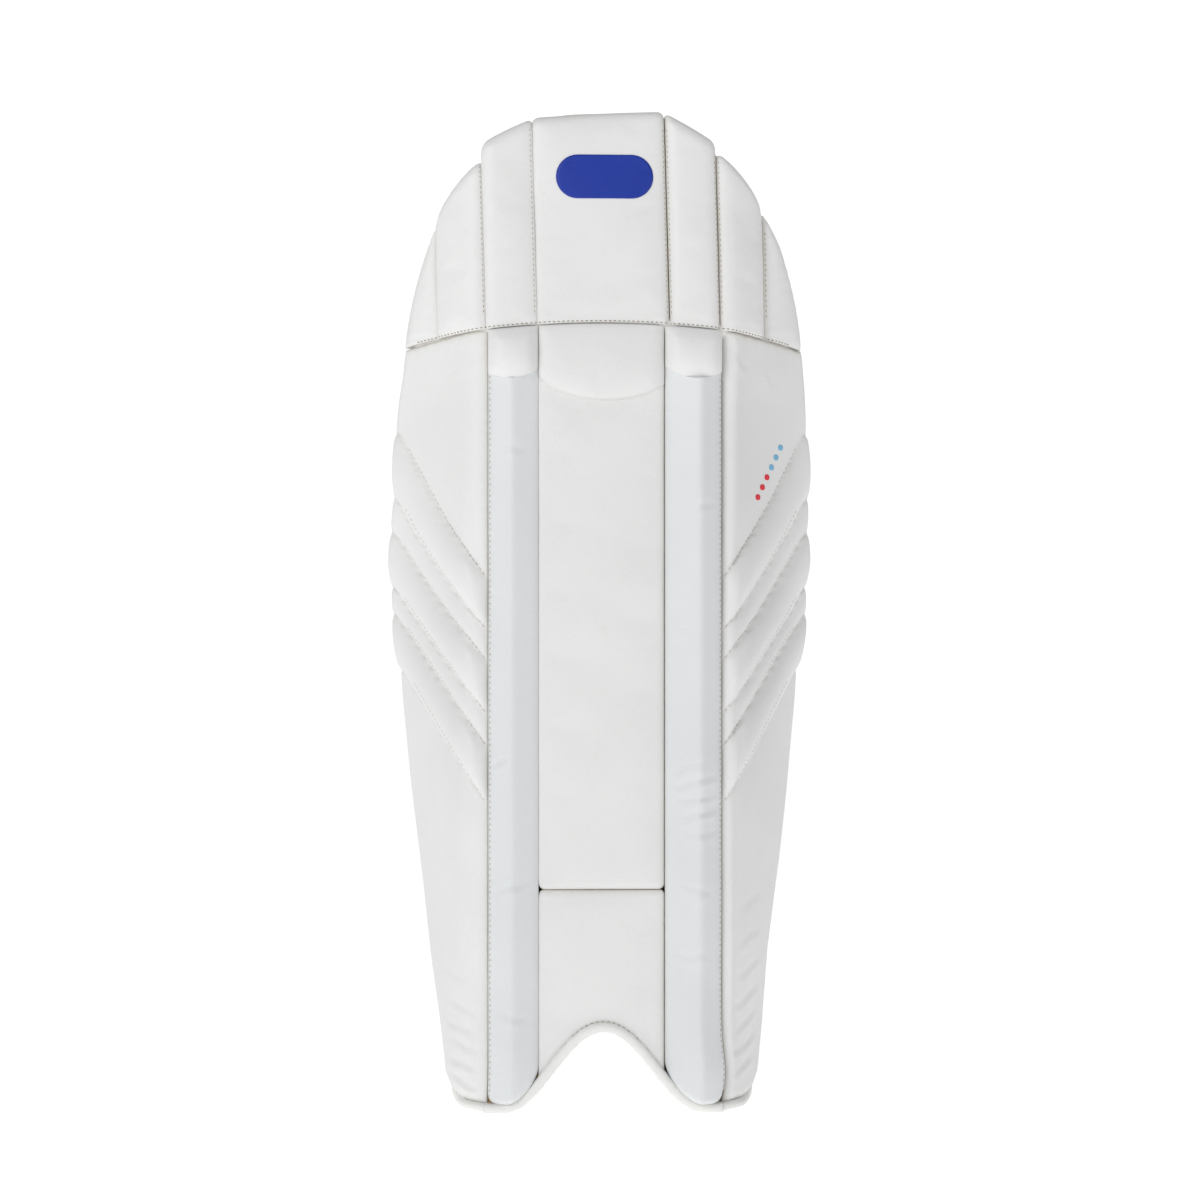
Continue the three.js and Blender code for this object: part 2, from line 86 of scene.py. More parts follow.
# Stitched lines of the wing quilting: height at the cane, height at the rim
QUILT_LINES = [(190, 272), (225, 307), (245, 325), (278, 360), (297, 382), (329, 422)]
QUILT_RISES = [5.6, 2.2, 5.6, 2.2, 5.6]


def lerp(a, b, share):
    return a + (b - a) * share


def wrap_angle(z):
    return WRAP_BASE - (WRAP_BASE - WRAP_TOP) * np.clip(z / HEIGHT, 0, 1) ** WRAP_FADE


def on_face(x, z, proud):
    """Points that stand proud of the curved face at x across and z up."""
    x, z, proud = np.broadcast_arrays(*(np.asarray(v, float) for v in (x, z, proud)))
    out, wrap = np.abs(x), wrap_angle(z)
    bend_end = BEND_START + BEND_RADIUS * np.sin(wrap)
    in_bend = np.arcsin(np.clip((out - BEND_START) / BEND_RADIUS, 0, 1))
    angle = np.where(out < bend_end, in_bend, wrap)
    depth = BEND_RADIUS * (1 - np.cos(angle)) + np.maximum(0, out - bend_end) * np.tan(wrap)
    side = np.where(x < 0, -1, 1)
    place = [x + side * proud * np.sin(angle), depth - proud * np.cos(angle) + FACE_Y, z]
    return np.stack(place, -1) * MM


def on_flap(x, z, proud):
    """The same for the thigh flap, whose lower edge is cut away behind."""
    place = on_face(x, z, proud)
    fade = np.clip(1 - (z - seam_at(np.asarray(x, float))) / FLAP_FOLD_FADE, 0, 1)
    place[..., 2] += FLAP_FOLD_SLOPE * np.maximum(0, place[..., 1] - FACE_Y * MM) * fade
    return place


def seam_at(x):
    return SEAM_HEIGHT - SEAM_DROP * (x / WING_TOP_HALF) ** 2


def arch_at(x):
    return ARCH_HEIGHT * np.cos(math.pi / 2 * np.clip(np.abs(x) / ARCH_HALF, 0, 1)) ** 2


def foot_at(x):
    slope = math.pi / 2 * ARCH_HEIGHT * np.sin(math.pi * np.clip(np.abs(x) / ARCH_HALF, 0, 1))
    return arch_at(x) + 4 * np.hypot(1, slope / ARCH_HALF) + 0.5


def shin_top_at(x):
    return seam_at(x) - 0.35


def knee_roll_bottom_at(x):
    across = np.clip((x - 1) / (CENTRE_HALF + 3), -1, 1)
    return seam_at(x) - 2.5 - KNEE_ROLL_SIDE - KNEE_ROLL_ARC * (1 - across**2) ** 0.62


def wing_rim_at(z):
    rise = np.clip(z / WING_WIDE_FROM, 0, 1)
    full = rise + WING_FULLNESS * np.sin(math.pi * rise)
    fall = np.maximum(0, z - WING_WIDE_TO) / (FLAP_BASE - WING_WIDE_TO)
    wide = lerp(WING_BASE_HALF, WING_WIDE_HALF, full)
    return wide - (WING_WIDE_HALF - WING_TOP_HALF) * fall**2


RIM_TRIM = {
    "left": ([270, 308, 335, 362, 386, 404, 423, 441, 458, 490],
             [0.0, 1.2, 0.0, -0.6, -3.0, -2.6, -1.8, -2.6, -4.2, -3.8]),
    "right": ([50, 96, 150, 275, 305, 330, 490], [0.0, -2.4, 0.0, 0.0, 2.6, 0.0, 0.0]),
}


def rim_line(z, side):
    """The wing's rim as it is sewn: drawn in at the foot and the top, full at the calf."""
    drawn = np.interp(z, [0, 60, 130, 220, 330, 390, 440, 490],
                      [-3.4, -2.6, -1.4, 0.2, 1.2, 0.6, -1.0, -1.8])
    return wing_rim_at(z) + drawn + np.interp(z, *RIM_TRIM[side])


def dome_at(x):
    across = np.clip(np.abs(x) / FLAP_HALF, 0, 1)
    return FLAP_BASE + (HEIGHT - FLAP_BASE) * (1 - across**FLAP_SPREAD) ** FLAP_ROUND


def dome_edge_at(z):
    rise = np.clip((z - FLAP_BASE) / (HEIGHT - FLAP_BASE), 0, 1)
    return FLAP_HALF * (1 - rise ** (1 / FLAP_ROUND)) ** (1 / FLAP_SPREAD)


def lean_at(z):
    return -FLAP_LEAN * (z - SEAM_HEIGHT) / (HEIGHT - SEAM_HEIGHT)


# ---- shader maths -----------------------------------------------------------------------------


class Value:
    """A socket that adds Math nodes when it is used in a sum."""

    def __init__(self, finish, socket):
        self.finish, self.socket = finish, socket

    def math(self, operation, *terms):
        made = self.finish.node("Math", {"operation": operation}, dict(enumerate(terms)))
        return Value(self.finish, made.outputs[0])

    def __add__(self, other):
        return self.math("ADD", self, other)

    def __sub__(self, other):
        return self.math("SUBTRACT", self, other)

    def __rsub__(self, other):
        return self.math("SUBTRACT", other, self)

    def __mul__(self, other):
        return self.math("MULTIPLY", self, other)

    def __truediv__(self, other):
        return self.math("DIVIDE", self, other)

    def __pow__(self, other):
        return self.math("POWER", self, other)

    def over(self, level, softness):
        """0 below a level and 1 above it, with a soft edge."""
        made = self.finish.node(
            "MapRange", {"interpolation_type": "SMOOTHSTEP"},
            {"Value": self, "From Min": level - softness, "From Max": level + softness})
        return Value(self.finish, made.outputs["Result"])

    def sine(self):
        return self.math("SINE", self)

    def lesser(self, other):
        return self.math("MINIMUM", self, other)

    __radd__, __rmul__ = __add__, __mul__


class Finish:
    """One material in the making, with a Principled shader at its end."""

    def __init__(self, name):
        self.material = bpy.data.materials.new(name)
        self.material.use_nodes = True
        self.tree = self.material.node_tree
        self.shader = self.tree.nodes["Principled BSDF"]

    def node(self, kind, settings=None, sockets=None):
        made = self.tree.nodes.new("ShaderNode" + kind)
        for key, value in (settings or {}).items():
            setattr(made, key, value)
        for key, value in (sockets or {}).items():
            self.put(made.inputs[key], value)
        return made

    def put(self, socket, value):
        if isinstance(value, Value):
            value = value.socket
        if isinstance(value, bpy.types.NodeSocket):
            self.tree.links.new(value, socket)
        else:
            socket.default_value = value

    def place(self, stretch=(1, 1, 1)):
        """The piece's own coordinates in millimetres, stretched."""
        spot = self.node("TexCoord").outputs["Object"]
        scale = [1000 * s for s in stretch]
        return self.node("VectorMath", {"operation": "MULTIPLY"}, {0: spot, 1: scale}).outputs[0]

    def along(self, axis):
        parts = self.node("SeparateXYZ", {}, {0: self.place()})
        return Value(self, parts.outputs[axis])

    def noise(self, size, detail=3, rough=0.5, stretch=(1, 1, 1)):
        made = self.node("TexNoise", {}, {
            "Vector": self.place(stretch), "Scale": 1 / size, "Detail": detail, "Roughness": rough})
        return Value(self, made.outputs[0])

    def cells(self, size, feature="F1", output="Distance"):
        made = self.node("TexVoronoi", {"feature": feature}, {
            "Vector": self.place(), "Scale": 1 / size})
        return Value(self, made.outputs[output])

    def stored(self, name):
        return Value(self, self.node("Attribute", {"attribute_name": name}).outputs["Fac"])

    def blend(self, share, first, second):
        made = self.node("Mix", {"data_type": "RGBA"}, {0: share, 6: first, 7: second})
        return made.outputs[2]

    def done(self, colour, roughness, height=None, depth=0.1, **steady):
        self.put(self.shader.inputs["Base Color"], colour)
        self.put(self.shader.inputs["Roughness"], roughness)
        for key, value in steady.items():
            self.put(self.shader.inputs[key.replace("_", " ")], value)
        if height is not None:
            bump = self.node("Bump", {}, {
                "Strength": 1.0, "Distance": depth * MM, "Height": height})
            self.put(self.shader.inputs["Normal"], bump.outputs[0])
        return self.material


def tint(red, green, blue):
    """A screen colour as the shader's own."""
    def linear(c):
        c /= 255
        return c / 12.92 if c <= 0.04045 else ((c + 0.055) / 1.055) ** 2.4
    return (linear(red), linear(green), linear(blue), 1)


def facing_finish(name, clean, shade, seam_dirt_and_shade, gloss, grain=0.75):
    """Coated facing: fine pebbled grain, cloudy whites, warm dirt and painted shade in the seams,
    polished crowns.
    """
    f = Finish(name)
    seam = f.stored("seam")
    cloud = f.noise(70, 2).over(0.5, 0.24)
    fleck = f.noise(1.7, 2).over(0.66, 0.1)
    scuff = f.noise(16, 5, 0.7, (1, 1, 0.45)).over(0.69, 0.07)
    # Painted shade and dirt in the seams: the facing turns to the seam colour near the stored seam
    # marks, which are strongest where an edge sinks deepest.
    seam_dirt_and_shade_mask = (seam ** 1.6) * (0.45 + 0.55 * f.noise(5, 3))
    colour = f.blend(cloud, tint(*clean), tint(*shade))
    colour = f.blend(fleck * 0.12, colour, tint(204, 202, 196))
    colour = f.blend(scuff * 0.1, colour, tint(212, 211, 208))
    colour = f.blend(seam_dirt_and_shade_mask, colour, tint(*seam_dirt_and_shade))
    pebble = f.cells(grain, "SMOOTH_F1")
    fine = f.noise(0.35, 2)
    soft = f.noise(9, 3)
    height = pebble * 0.55 + fine * 0.25 + soft * 1.5
    rough = gloss + 0.1 * f.noise(24, 3) + 0.12 * seam - 0.05 * scuff
    return f.done(colour, rough, height, 0.11, Specular_IOR_Level=0.42, Coat_Weight=0.06,
                  Coat_Roughness=0.34)


def knit_finish(name, light, dark, pitch, depth, gloss=0.88):
    """Knitted lining: rows of small loops with a soft nap."""
    f = Finish(name)
    across, up, deep = f.along(0), f.along(2), f.along(1)
    turn = 2 * math.pi / pitch
    rows = (up * turn + ((across + deep) * turn).sine() * 0.9).sine()
    loops = ((across + deep * 1.1) * turn * 0.5).sine()
    weave = (rows * 0.5 + 0.5) * 0.6 + (loops * loops) * 0.4
    nap = f.noise(0.8, 3)
    patch = f.noise(35, 3).over(0.52, 0.2)
    colour = f.blend(weave * 0.7 + nap * 0.3, tint(*dark), tint(*light))
    # Painted shade and dirt towards the stored seam marks, in the seams and sewn dips; the patches
    # are random tone.
    colour = f.blend(patch * 0.16 + f.stored("seam") * 0.35, colour, tint(196, 194, 188))
    return f.done(colour, gloss - 0.08 * weave, weave + nap * 0.6, depth, Sheen_Weight=0.25,
                  Sheen_Roughness=0.5, Specular_IOR_Level=0.25)


def webbing_finish(name):
    """Woven strap: ribs along the strap, picks across it."""
    f = Finish(name)
    across, deep, up = f.along(0), f.along(1), f.along(2)
    ribs = (up * (2 * math.pi / 1.9)).sine()
    picks = ((across + deep) * (2 * math.pi / 0.9) + ribs * 1.2).sine()
    weave = (ribs * 0.5 + 0.5) * 0.55 + (picks * 0.5 + 0.5) * 0.45
    nap = f.noise(1.1, 4)
    colour = f.blend(weave * 0.8 + nap * 0.2, tint(196, 197, 197), tint(232, 233, 232))
    colour = f.blend(f.noise(18, 3).over(0.6, 0.15) * 0.2, colour, tint(210, 208, 202))
    return f.done(colour, 0.8 - 0.1 * weave, weave + nap * 0.4, 0.22, Sheen_Weight=0.15,
                  Specular_IOR_Level=0.3)


def tape_finish(name, light, dark, size, depth, gloss):
    """Hook or loop tape: a dense field of small bristles or loops."""
    f = Finish(name)
    tufts = f.cells(size)
    fuzz = f.noise(size * 0.6, 4, 0.7)
    colour = f.blend(tufts.lesser(1) * 0.6 + fuzz * 0.4, tint(*light), tint(*dark))
    return f.done(colour, gloss + 0.1 * fuzz, 1 - tufts + fuzz, depth, Specular_IOR_Level=0.3)


def thread_finish(name, light, dark):
    f = Finish(name)
    twist = ((f.along(0) + f.along(2) * 1.3) * (2 * math.pi / 0.45)).sine()
    colour = f.blend(twist * 0.5 + 0.5, tint(*dark), tint(*light))
    return f.done(colour, 0.75 + 0.1 * f.noise(2), twist, 0.05)


def foam_finish():
    f = Finish("foam_filling")
    cell = f.cells(1.1)
    colour = f.blend(cell * 0.8 + f.noise(20) * 0.3, tint(226, 221, 205), tint(198, 190, 168))
    return f.done(colour, 0.94 - 0.05 * cell, 1 - cell, 0.25)


def cane_wood_finish():
    f = Finish("cane_rods")
    grain = f.noise(2.2, 6, 0.65, (1, 1, 0.05))
    knot = f.noise(14, 2, 0.5, (1, 1, 0.25)).over(0.62, 0.08)
    colour = f.blend(grain, tint(214, 184, 130), tint(172, 134, 78))
    colour = f.blend(knot * 0.5, colour, tint(140, 104, 58))
    return f.done(colour, 0.5 + 0.2 * grain, grain, 0.15)


def board_finish():
    f = Finish("pressed_board")
    fibre = f.noise(3, 6, 0.7, (1, 1, 0.3))
    colour = f.blend(fibre, tint(182, 180, 172), tint(206, 205, 200))
    return f.done(colour, 0.75 + 0.15 * fibre, fibre, 0.12)


def print_finish(name, ink, worn):
    """Ink on the coated facing: slight wear specks and the grain showing through."""
    f = Finish(name)
    speck = f.noise(1.3, 4, 0.7).over(0.7, 0.04)
    colour = f.blend(f.noise(12, 3) * 0.5, tint(*ink), tint(*worn))
    colour = f.blend(speck * 0.35, colour, tint(150, 160, 200))
    return f.done(colour, 0.42 + 0.1 * f.noise(6), f.cells(0.75, "SMOOTH_F1"), 0.05)


FACING = facing_finish("white_facing", (233, 233, 232), (229, 229, 228), (206, 199, 184), 0.40)
CANE_FACING = facing_finish("cane_facing", (225, 227, 228), (222, 224, 226), (202, 199, 190), 0.34)
PIPING = facing_finish("white_piping", (238, 238, 235), (233, 233, 230), (214, 209, 198), 0.38)
LINING = knit_finish("knitted_lining", (232, 232, 229), (205, 205, 201), 1.6, 0.16)
TOWEL = knit_finish("cushion_cloth", (236, 236, 234), (208, 208, 205), 2.3, 0.3, 0.92)
WEBBING = webbing_finish("strap_webbing")
HOOKS = tape_finish("hook_tape", (222, 223, 222), (176, 178, 178), 0.9, 0.35, 0.5)
LOOPS = tape_finish("loop_tape", (232, 232, 231), (200, 201, 200), 1.5, 0.4, 0.86)
THREAD = thread_finish("stitch_thread", (224, 221, 213), (196, 191, 180))
# Brown thread for the seam stitches, darker than the rest to paint the shade in their needle holes.
NEEDLE_HOLE_SHADE_THREAD = thread_finish("needle_hole_shade_thread", (190, 177, 153), (150, 135, 110))
FOAM = foam_finish()
WOOD = cane_wood_finish()
BOARD = board_finish()
BLUE_INK = print_finish("blue_ink", (0, 44, 152), (8, 54, 164))
RED_INK = print_finish("red_ink", (222, 26, 44), (228, 44, 58))
SKY_INK = print_finish("pale_blue_ink", (110, 178, 214), (128, 190, 222))

SLOTS = {FACING: "facing", CANE_FACING: "cane_facing", PIPING: "piping", LINING: "lining",
         TOWEL: "lining", WEBBING: "webbing", HOOKS: "hook_tape", LOOPS: "loop_tape",
         THREAD: "lining", BLUE_INK: "facing", RED_INK: "facing", SKY_INK: "facing"}

# ---- closed forms -----------------------------------------------------------------------------


def linked(name, data):
    """A new object that holds this data, in the scene."""
    made = bpy.data.objects.new(name, data)
    bpy.context.scene.collection.objects.link(made)
    return made


def piece_from(name, points, faces, finish, seam=None):
    mesh = bpy.data.meshes.new(name)
    mesh.from_pydata([tuple(p) for p in points], [], [tuple(f) for f in faces])
    form = bmesh.new()
    form.from_mesh(mesh)
    bmesh.ops.recalc_face_normals(form, faces=form.faces)
    form.to_mesh(mesh)
    form.free()
    mesh.polygons.foreach_set("use_smooth", [True] * len(mesh.polygons))
    mark = mesh.attributes.new("seam", "FLOAT", "POINT")
    mark.data.foreach_set("value", np.asarray(
        np.zeros(len(points)) if seam is None else seam, np.float32))
    mesh.materials.append(finish)
    piece = linked(name, mesh)
    finish in SLOTS
    return piece


def closed_form(name, front, back, finish, seam=None, back_seam=0.0):
    """A closed body between two grids of points that share their layout."""
    rows, columns = front.shape[:2]
    count = rows * columns
    grid = np.arange(count).reshape(rows, columns)
    quads = np.stack([grid[:-1, :-1], grid[:-1, 1:], grid[1:, 1:], grid[1:, :-1]], -1)
    quads = quads.reshape(-1, 4)
    edge = np.concatenate([grid[0, :-1], grid[:-1, -1], grid[-1, :0:-1], grid[:0:-1, 0]])
    after = np.roll(edge, -1)
    walls = np.stack([edge, edge + count, after + count, after], -1)
    faces = np.concatenate([quads, quads[:, ::-1] + count, walls])
    points = np.concatenate([front.reshape(-1, 3), back.reshape(-1, 3)])
    if seam is None:
        seam = np.zeros((rows, columns))
    marks = np.concatenate([seam.ravel(), np.full(count, back_seam)])
    return piece_from(name, points, faces, finish, marks)


def shares(length, step=3.0, roll=7.0):
    """Places from 0 to 1 along a length, close together where the ends roll over."""
    roll = min(roll, length / 2)
    turn = 1 - np.cos(np.linspace(0, math.pi / 2, 8))
    near = turn * roll
    middle = max(1, round((length - 2 * roll) / step))
    inner = np.linspace(roll, length - roll, middle + 1)[1:-1]
    return np.unique(np.concatenate([near, inner, length - near])) / length


def roll_over(distance, radius):
    """0 at an edge, rising like a quarter of a round edge to 1."""
    left = 1 - np.clip(distance / radius, 0, 1)
    return np.sqrt(np.maximum(0, 1 - left**2))


def waver(x, z, size, seed):
    """A slow, even unevenness of about 1, repeatable from its seed."""
    draw = np.random.default_rng(seed)
    total = 0
    for _ in range(9):
        heading, wave = draw.uniform(0, math.pi), 2 * math.pi / (size * draw.uniform(0.6, 1.7))
        total = total + np.sin(wave * (x * math.cos(heading) + z * math.sin(heading))
                               + draw.uniform(0, 2 * math.pi))
    return total / 3


def creases(x, z, lines):
    """Pressed-in folds: each line is two ends, a depth and a width."""
    total = np.zeros(np.broadcast(x, z).shape)
    for x0, z0, x1, z1, depth, width in lines:
        dx, dz = x1 - x0, z1 - z0
        long = math.hypot(dx, dz)
        along = ((x - x0) * dx + (z - z0) * dz) / long**2
        off = ((x - x0) * dz - (z - z0) * dx) / long + 0.8 * waver(x, z, 14, int(abs(x0 + z0)))
        ends = np.clip(along * 5, 0, 1) * np.clip((1 - along) * 5, 0, 1)
        total -= depth * ends * (np.exp(-(off / width) ** 2)
                                 - 0.7 * np.exp(-((off - 2.2 * width) / (1.4 * width)) ** 2))
    return total


def even(edge):
    return edge if callable(edge) else lambda _: edge


def layout(left, right, bottom, top, step=3.0, roll=7.0):
    """x and z over a panel between its edges, with each point's distance from all four."""
    left, right, bottom, top = map(even, (left, right, bottom, top))
    middle = (left(300) + right(300)) / 2
    low, high = bottom(middle), top(middle)
    wide = right((low + high) / 2) - left((low + high) / 2)
    across = shares(wide, step, roll)[None, :]
    up = shares(high - low, step, roll)[:, None]
    z = low + (high - low) * up + 0 * across
    x = 0 * z
    for _ in range(8):
        x = left(z) + (right(z) - left(z)) * across + 0 * z
        z = bottom(x) + (top(x) - bottom(x)) * up
    return x, z, (x - left(z), right(z) - x, z - bottom(x), top(x) - z), across + 0 * z, up + 0 * z


def rounded(edge, left, right, radius, inward):
    """An edge whose two corners are rounded off; inward is +1 on a bottom edge, -1 on a top."""
    edge, left, right = map(even, (edge, left, right))

    def at(x):
        z = edge(x)
        near = np.clip(np.minimum(x - left(z), right(z) - x), 0, radius)
        return z + inward * (radius - np.sqrt(np.maximum(0, radius**2 - (radius - near) ** 2)))

    return at


def stuffed(name, body, nodes, finish, left, right, bottom, top, *, back, rise=2.0, crown=1.5,
            roll=6.0, deep=3.0, corners=(0, 0), fill=0.7, on=on_face, shape=None, pucker=0.3,
            seed=1, step=3.0, lines=(), held=(0.3, 0.3, 0.3, 0.3), seam_dirt_and_shade=1.0,
            hinged=False, loose=0.35):
    """A stuffed panel: edges that roll down into the seams, a crowned face and gathered seams.
    held is how high each edge (left, right, bottom, top) is kept up by its stitching."""
    bottom, top = even(bottom), even(top)
    if corners[0]:
        bottom = rounded(bottom, left, right, corners[0], 1)
    if corners[1]:
        top = rounded(top, left, right, corners[1], -1)
    x, z, gaps, a, b = layout(left, right, bottom, top, step, roll)
    gaps = [np.maximum(0, g) for g in gaps]
    soft = np.ones_like(x)
    for gap, hold in zip(gaps, held):
        soft = soft * (hold + (1 - hold) * roll_over(gap, roll))
    nearest = np.minimum.reduce(gaps)
    dome = (4 * a * (1 - a)) ** 0.6 * (4 * b * (1 - b)) ** 0.35
    gather = np.exp(-nearest / 4.5) * soft * (
        np.sin(z * 0.95 + 1.4 * waver(x, z, 30, seed)) * (np.minimum(gaps[0], gaps[1]) < 12)
        + np.sin(x * 1.05 + 1.4 * waver(x, z, 26, seed + 1)) * (np.minimum(gaps[2], gaps[3]) < 12))
    proud = -deep + (deep + rise) * soft + crown * dome + pucker * gather
    proud = proud + 0.28 * soft * waver(x, z, 60, seed + 2) + soft * creases(x, z, lines)
    if shape is not None:
        proud = proud + soft * shape(x, z, a, b)
    # Seam marks that drive the facing's painted seam shade and dirt, strongest along edges that
    # sink furthest into their seams.
    seam = seam_dirt_and_shade * np.maximum.reduce([
        min(1, 1.25 * (1 - hold)) * np.exp(-gap / 1.1) for gap, hold in zip(gaps, held)])
    piece = closed_form(name, on(x, z, proud), on(x, z, back), finish, seam, 0.25)
    if loose:
        pinned = np.clip(1.2 - nearest / 6, 0, 1)
        for label, values in (("held", pinned), ("share", loose + 0 * x)):
            layer = piece.data.attributes.new(label, "FLOAT", "POINT")
            layer.data.foreach_set("value", np.concatenate([
                values.ravel(), np.ones(x.size)]).astype(np.float32))
        loose_covers.append(piece)
    if hinged:
        folding.append(piece)
    else:
        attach(piece, body)
    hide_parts(*nodes)
    return piece


# ---- shin guard -------------------------------------------------------------------------------

CENTRE_EDGES = (-CANE_SEAMS["left"][0] - 0.06, CANE_SEAMS["right"][0] - 0.08)
faces = {"shin": [], "left_wing": [], "right_wing": [], "thigh_flap": []}
loose_covers, folding = [], []


def inflate(pieces, pressure, give, furthest):
    """Cloth simulation of the covers in one go: each is cut a little large, held at its sewn
    edges, and swells over its filling by at most `furthest` millimetres. Each cover keeps only
    its own share of that movement."""
    points, polygons, hold, kept, firsts = [], [], [], [], []
    for piece in pieces:
        first = len(points)
        firsts.append(first)
        points += [tuple(v.co * 10) for v in piece.data.vertices]
        polygons += [[first + v for v in p.vertices] for p in piece.data.polygons]
        hold += [item.value for item in piece.data.attributes["held"].data]
        kept += [item.value for item in piece.data.attributes["share"].data]
    mesh = bpy.data.meshes.new("covers_at_rest")
    mesh.from_pydata(points, [], polygons)
    body = linked("covers_at_rest", mesh)
    group = body.vertex_groups.new(name="sewn")
    for number, weight in enumerate(hold):
        if weight > 0:
            group.add([number], weight, "REPLACE")
    cloth = body.modifiers.new("cloth", "CLOTH")
    set_up = cloth.settings
    set_up.quality, set_up.mass = 5, 0.3
    set_up.tension_stiffness = set_up.compression_stiffness = 25
    set_up.shear_stiffness, set_up.bending_stiffness = 8, 2.5
    set_up.tension_damping = set_up.compression_damping = 8
    set_up.air_damping = 6
    set_up.vertex_group_mass, set_up.pin_stiffness = "sewn", 2
    set_up.shrink_min = -give
    set_up.use_pressure, set_up.uniform_pressure_force = True, pressure
    set_up.effector_weights.gravity = 0
    cloth.point_cache.frame_start, cloth.point_cache.frame_end = 1, 20
    for frame_number in range(1, 21):
        bpy.context.scene.frame_set(frame_number)
    settled = body.evaluated_get(bpy.context.evaluated_depsgraph_get()).to_mesh()
    moved = np.zeros(len(points) * 3, np.float32)
    settled.vertices.foreach_get("co", moved)
    shift = (moved.reshape(-1, 3) - np.array(points)) / 10
    size = np.linalg.norm(shift, axis=1)[:, None]
    shift = shift * np.minimum(1, furthest * MM / np.maximum(size, 1e-9))
    shift *= ((1 - np.array(hold)) * np.array(kept))[:, None]
    for piece, first in zip(pieces, firsts):
        count = len(piece.data.vertices)
        place = np.array([v.co for v in piece.data.vertices]) + shift[first:first + count]
        piece.data.vertices.foreach_set("co", place.astype(np.float32).ravel())
        piece.data.update()
    bpy.data.objects.remove(body)
    bpy.context.scene.frame_set(1)

faces["shin"].append(stuffed(
    "centre_panel", "shin", ["centre_panel_cover", "centre_panel_foam"], FACING,
    *CENTRE_EDGES, INSTEP_TOP + 0.1, lambda x: knee_roll_bottom_at(x) + 1.0,
    back=SHIN_BACK, rise=0.6, crown=1.6, roll=5, deep=2.4, corners=(4, 0), seed=3, pucker=0.16,
    held=(0.72, 0.05, 0.1, 1.0), loose=0.2))
faces["shin"].append(stuffed(
    "knee_roll", "shin", ["knee_roll_cover", "knee_roll_foam"], FACING,
    *CENTRE_EDGES, knee_roll_bottom_at, shin_top_at,
    back=SHIN_BACK, rise=3.6, crown=2.8, roll=8, deep=2.2, seed=7, pucker=0.25,
    held=(0.6, 0.2, 0.45, 0.85), seam_dirt_and_shade=0.6,
    lines=[(-3, 447, 1, 445, 0.5, 0.9)]))
faces["shin"].append(stuffed(
    "instep_pad", "shin", ["instep_panel"], FACING,
    *CENTRE_EDGES, lambda x: foot_at(x) + 0.9, INSTEP_TOP - 0.1,
    back=SHIN_BACK, rise=0.2, crown=1.4, roll=5, deep=2.4, corners=(0, 3), seed=11, pucker=0.25,
    held=(0.72, 0.05, 0.6, 0.15), loose=0.2,
    lines=[(-30, 60, -22, 84, 0.4, 2.5), (24, 58, 31, 88, 0.35, 2.5)]))


def cane_edge(side, z):
    """A cane's outer edge; the right one swings out round its rounded foot."""
    bulge = 2.4 * np.exp(-((z - 24) / 17) ** 2) if side == "right" else 0.9 * np.exp(-(z / 14) ** 2)
    return CANE_SEAMS[side][1] + bulge


def cane_roof(ridge, high, sign):
    def roof(x, z, a, b):
        inward = a if sign > 0 else 1 - a
        slope = np.where(inward < ridge, inward / ridge, (1 - inward) / (1 - ridge))
        crest = 1 - np.sqrt((1 - slope) ** 2 + 0.004) + 0.063
        swell = 1 + 0.22 * np.exp(-((z - 34) / 26) ** 2)
        return high * crest * swell
    return roof


def cap_foot(x, middle):
    """The rounded lower edge of a cane's cap."""
    return seam_at(x) - 31.5 + 5.0 * ((x - middle) / 16) ** 2


def cap_shape(x, z, a, b):
    return 5.6 * (4 * a * (1 - a)) ** 0.5 * np.sin(math.pi * np.clip(b * 0.9 + 0.1, 0, 1)) ** 0.6


CANE_CREASES = {
    "left": [(-70, 214, -58, 220, 0.7, 1.6), (-66, 139, -46, 143, 0.6, 1.8),
             (-70, 322, -58, 316, 0.5, 1.6), (-64, 62, -46, 58, 0.5, 2.0),
             (-62, 412, -48, 408, 0.5, 1.8)],
    "right": [(42, 200, 71, 209, 0.9, 1.6), (44, 191, 68, 197, 0.8, 1.5),
              (46, 181, 72, 189, 0.8, 1.6), (50, 170, 71, 174, 0.6, 1.6),
              (41, 209, 62, 218, 0.7, 1.5), (48, 140, 68, 136, 0.5, 1.8),
              (44, 96, 66, 100, 0.4, 2.0), (44, 300, 60, 296, 0.45, 1.8),
              (50, 372, 68, 378, 0.5, 1.8)],
}
for side, sign, ridge, high in (("left", -1, 0.52, 7.4), ("right", 1, 0.62, 10.2)):
    near, far = CANE_SEAMS[side]
    inner, outer = sorted((sign * (near + 0.08), sign * (far - 0.08)))
    left = inner if sign > 0 else lambda z: 0.08 - cane_edge("left", z)
    right = outer if sign < 0 else lambda z: cane_edge("right", z) - 0.08
    faces["shin"].append(stuffed(
        f"cane_pad_{side}", "shin", [f"cane_cover_{side}"], CANE_FACING,
        left, right, lambda x: foot_at(x) + 0.7, lambda x, m=(inner + outer) / 2: cap_foot(x, m),
        back=-3.0, rise=0.5, crown=0.3, roll=4.0, deep=2.2, corners=(8, 0), seed=17 + sign,
        pucker=0.18, held=(0.5, 0.6, 0.5, 1.0) if sign < 0 else (0.35, 0.4, 0.5, 1.0),
        shape=cane_roof(ridge, high, sign), lines=CANE_CREASES[side], fill=0.9, loose=0,
        step=1.6))
    faces["shin"].append(stuffed(
        f"cane_cap_pad_{side}", "shin", [f"cane_cap_{side}"], FACING,
        inner, outer, lambda x, m=(inner + outer) / 2: cap_foot(x, m) - 0.1, shin_top_at,
        back=-3.0, rise=4.4, crown=0.6, roll=8.5, deep=2.2, seed=27 + sign, pucker=0.2,
        shape=cap_shape, fill=0.9, held=(0.35, 0.35, 0.93, 0.85), seam_dirt_and_shade=0.5))


# ---- wings ------------------------------------------------------------------------------------


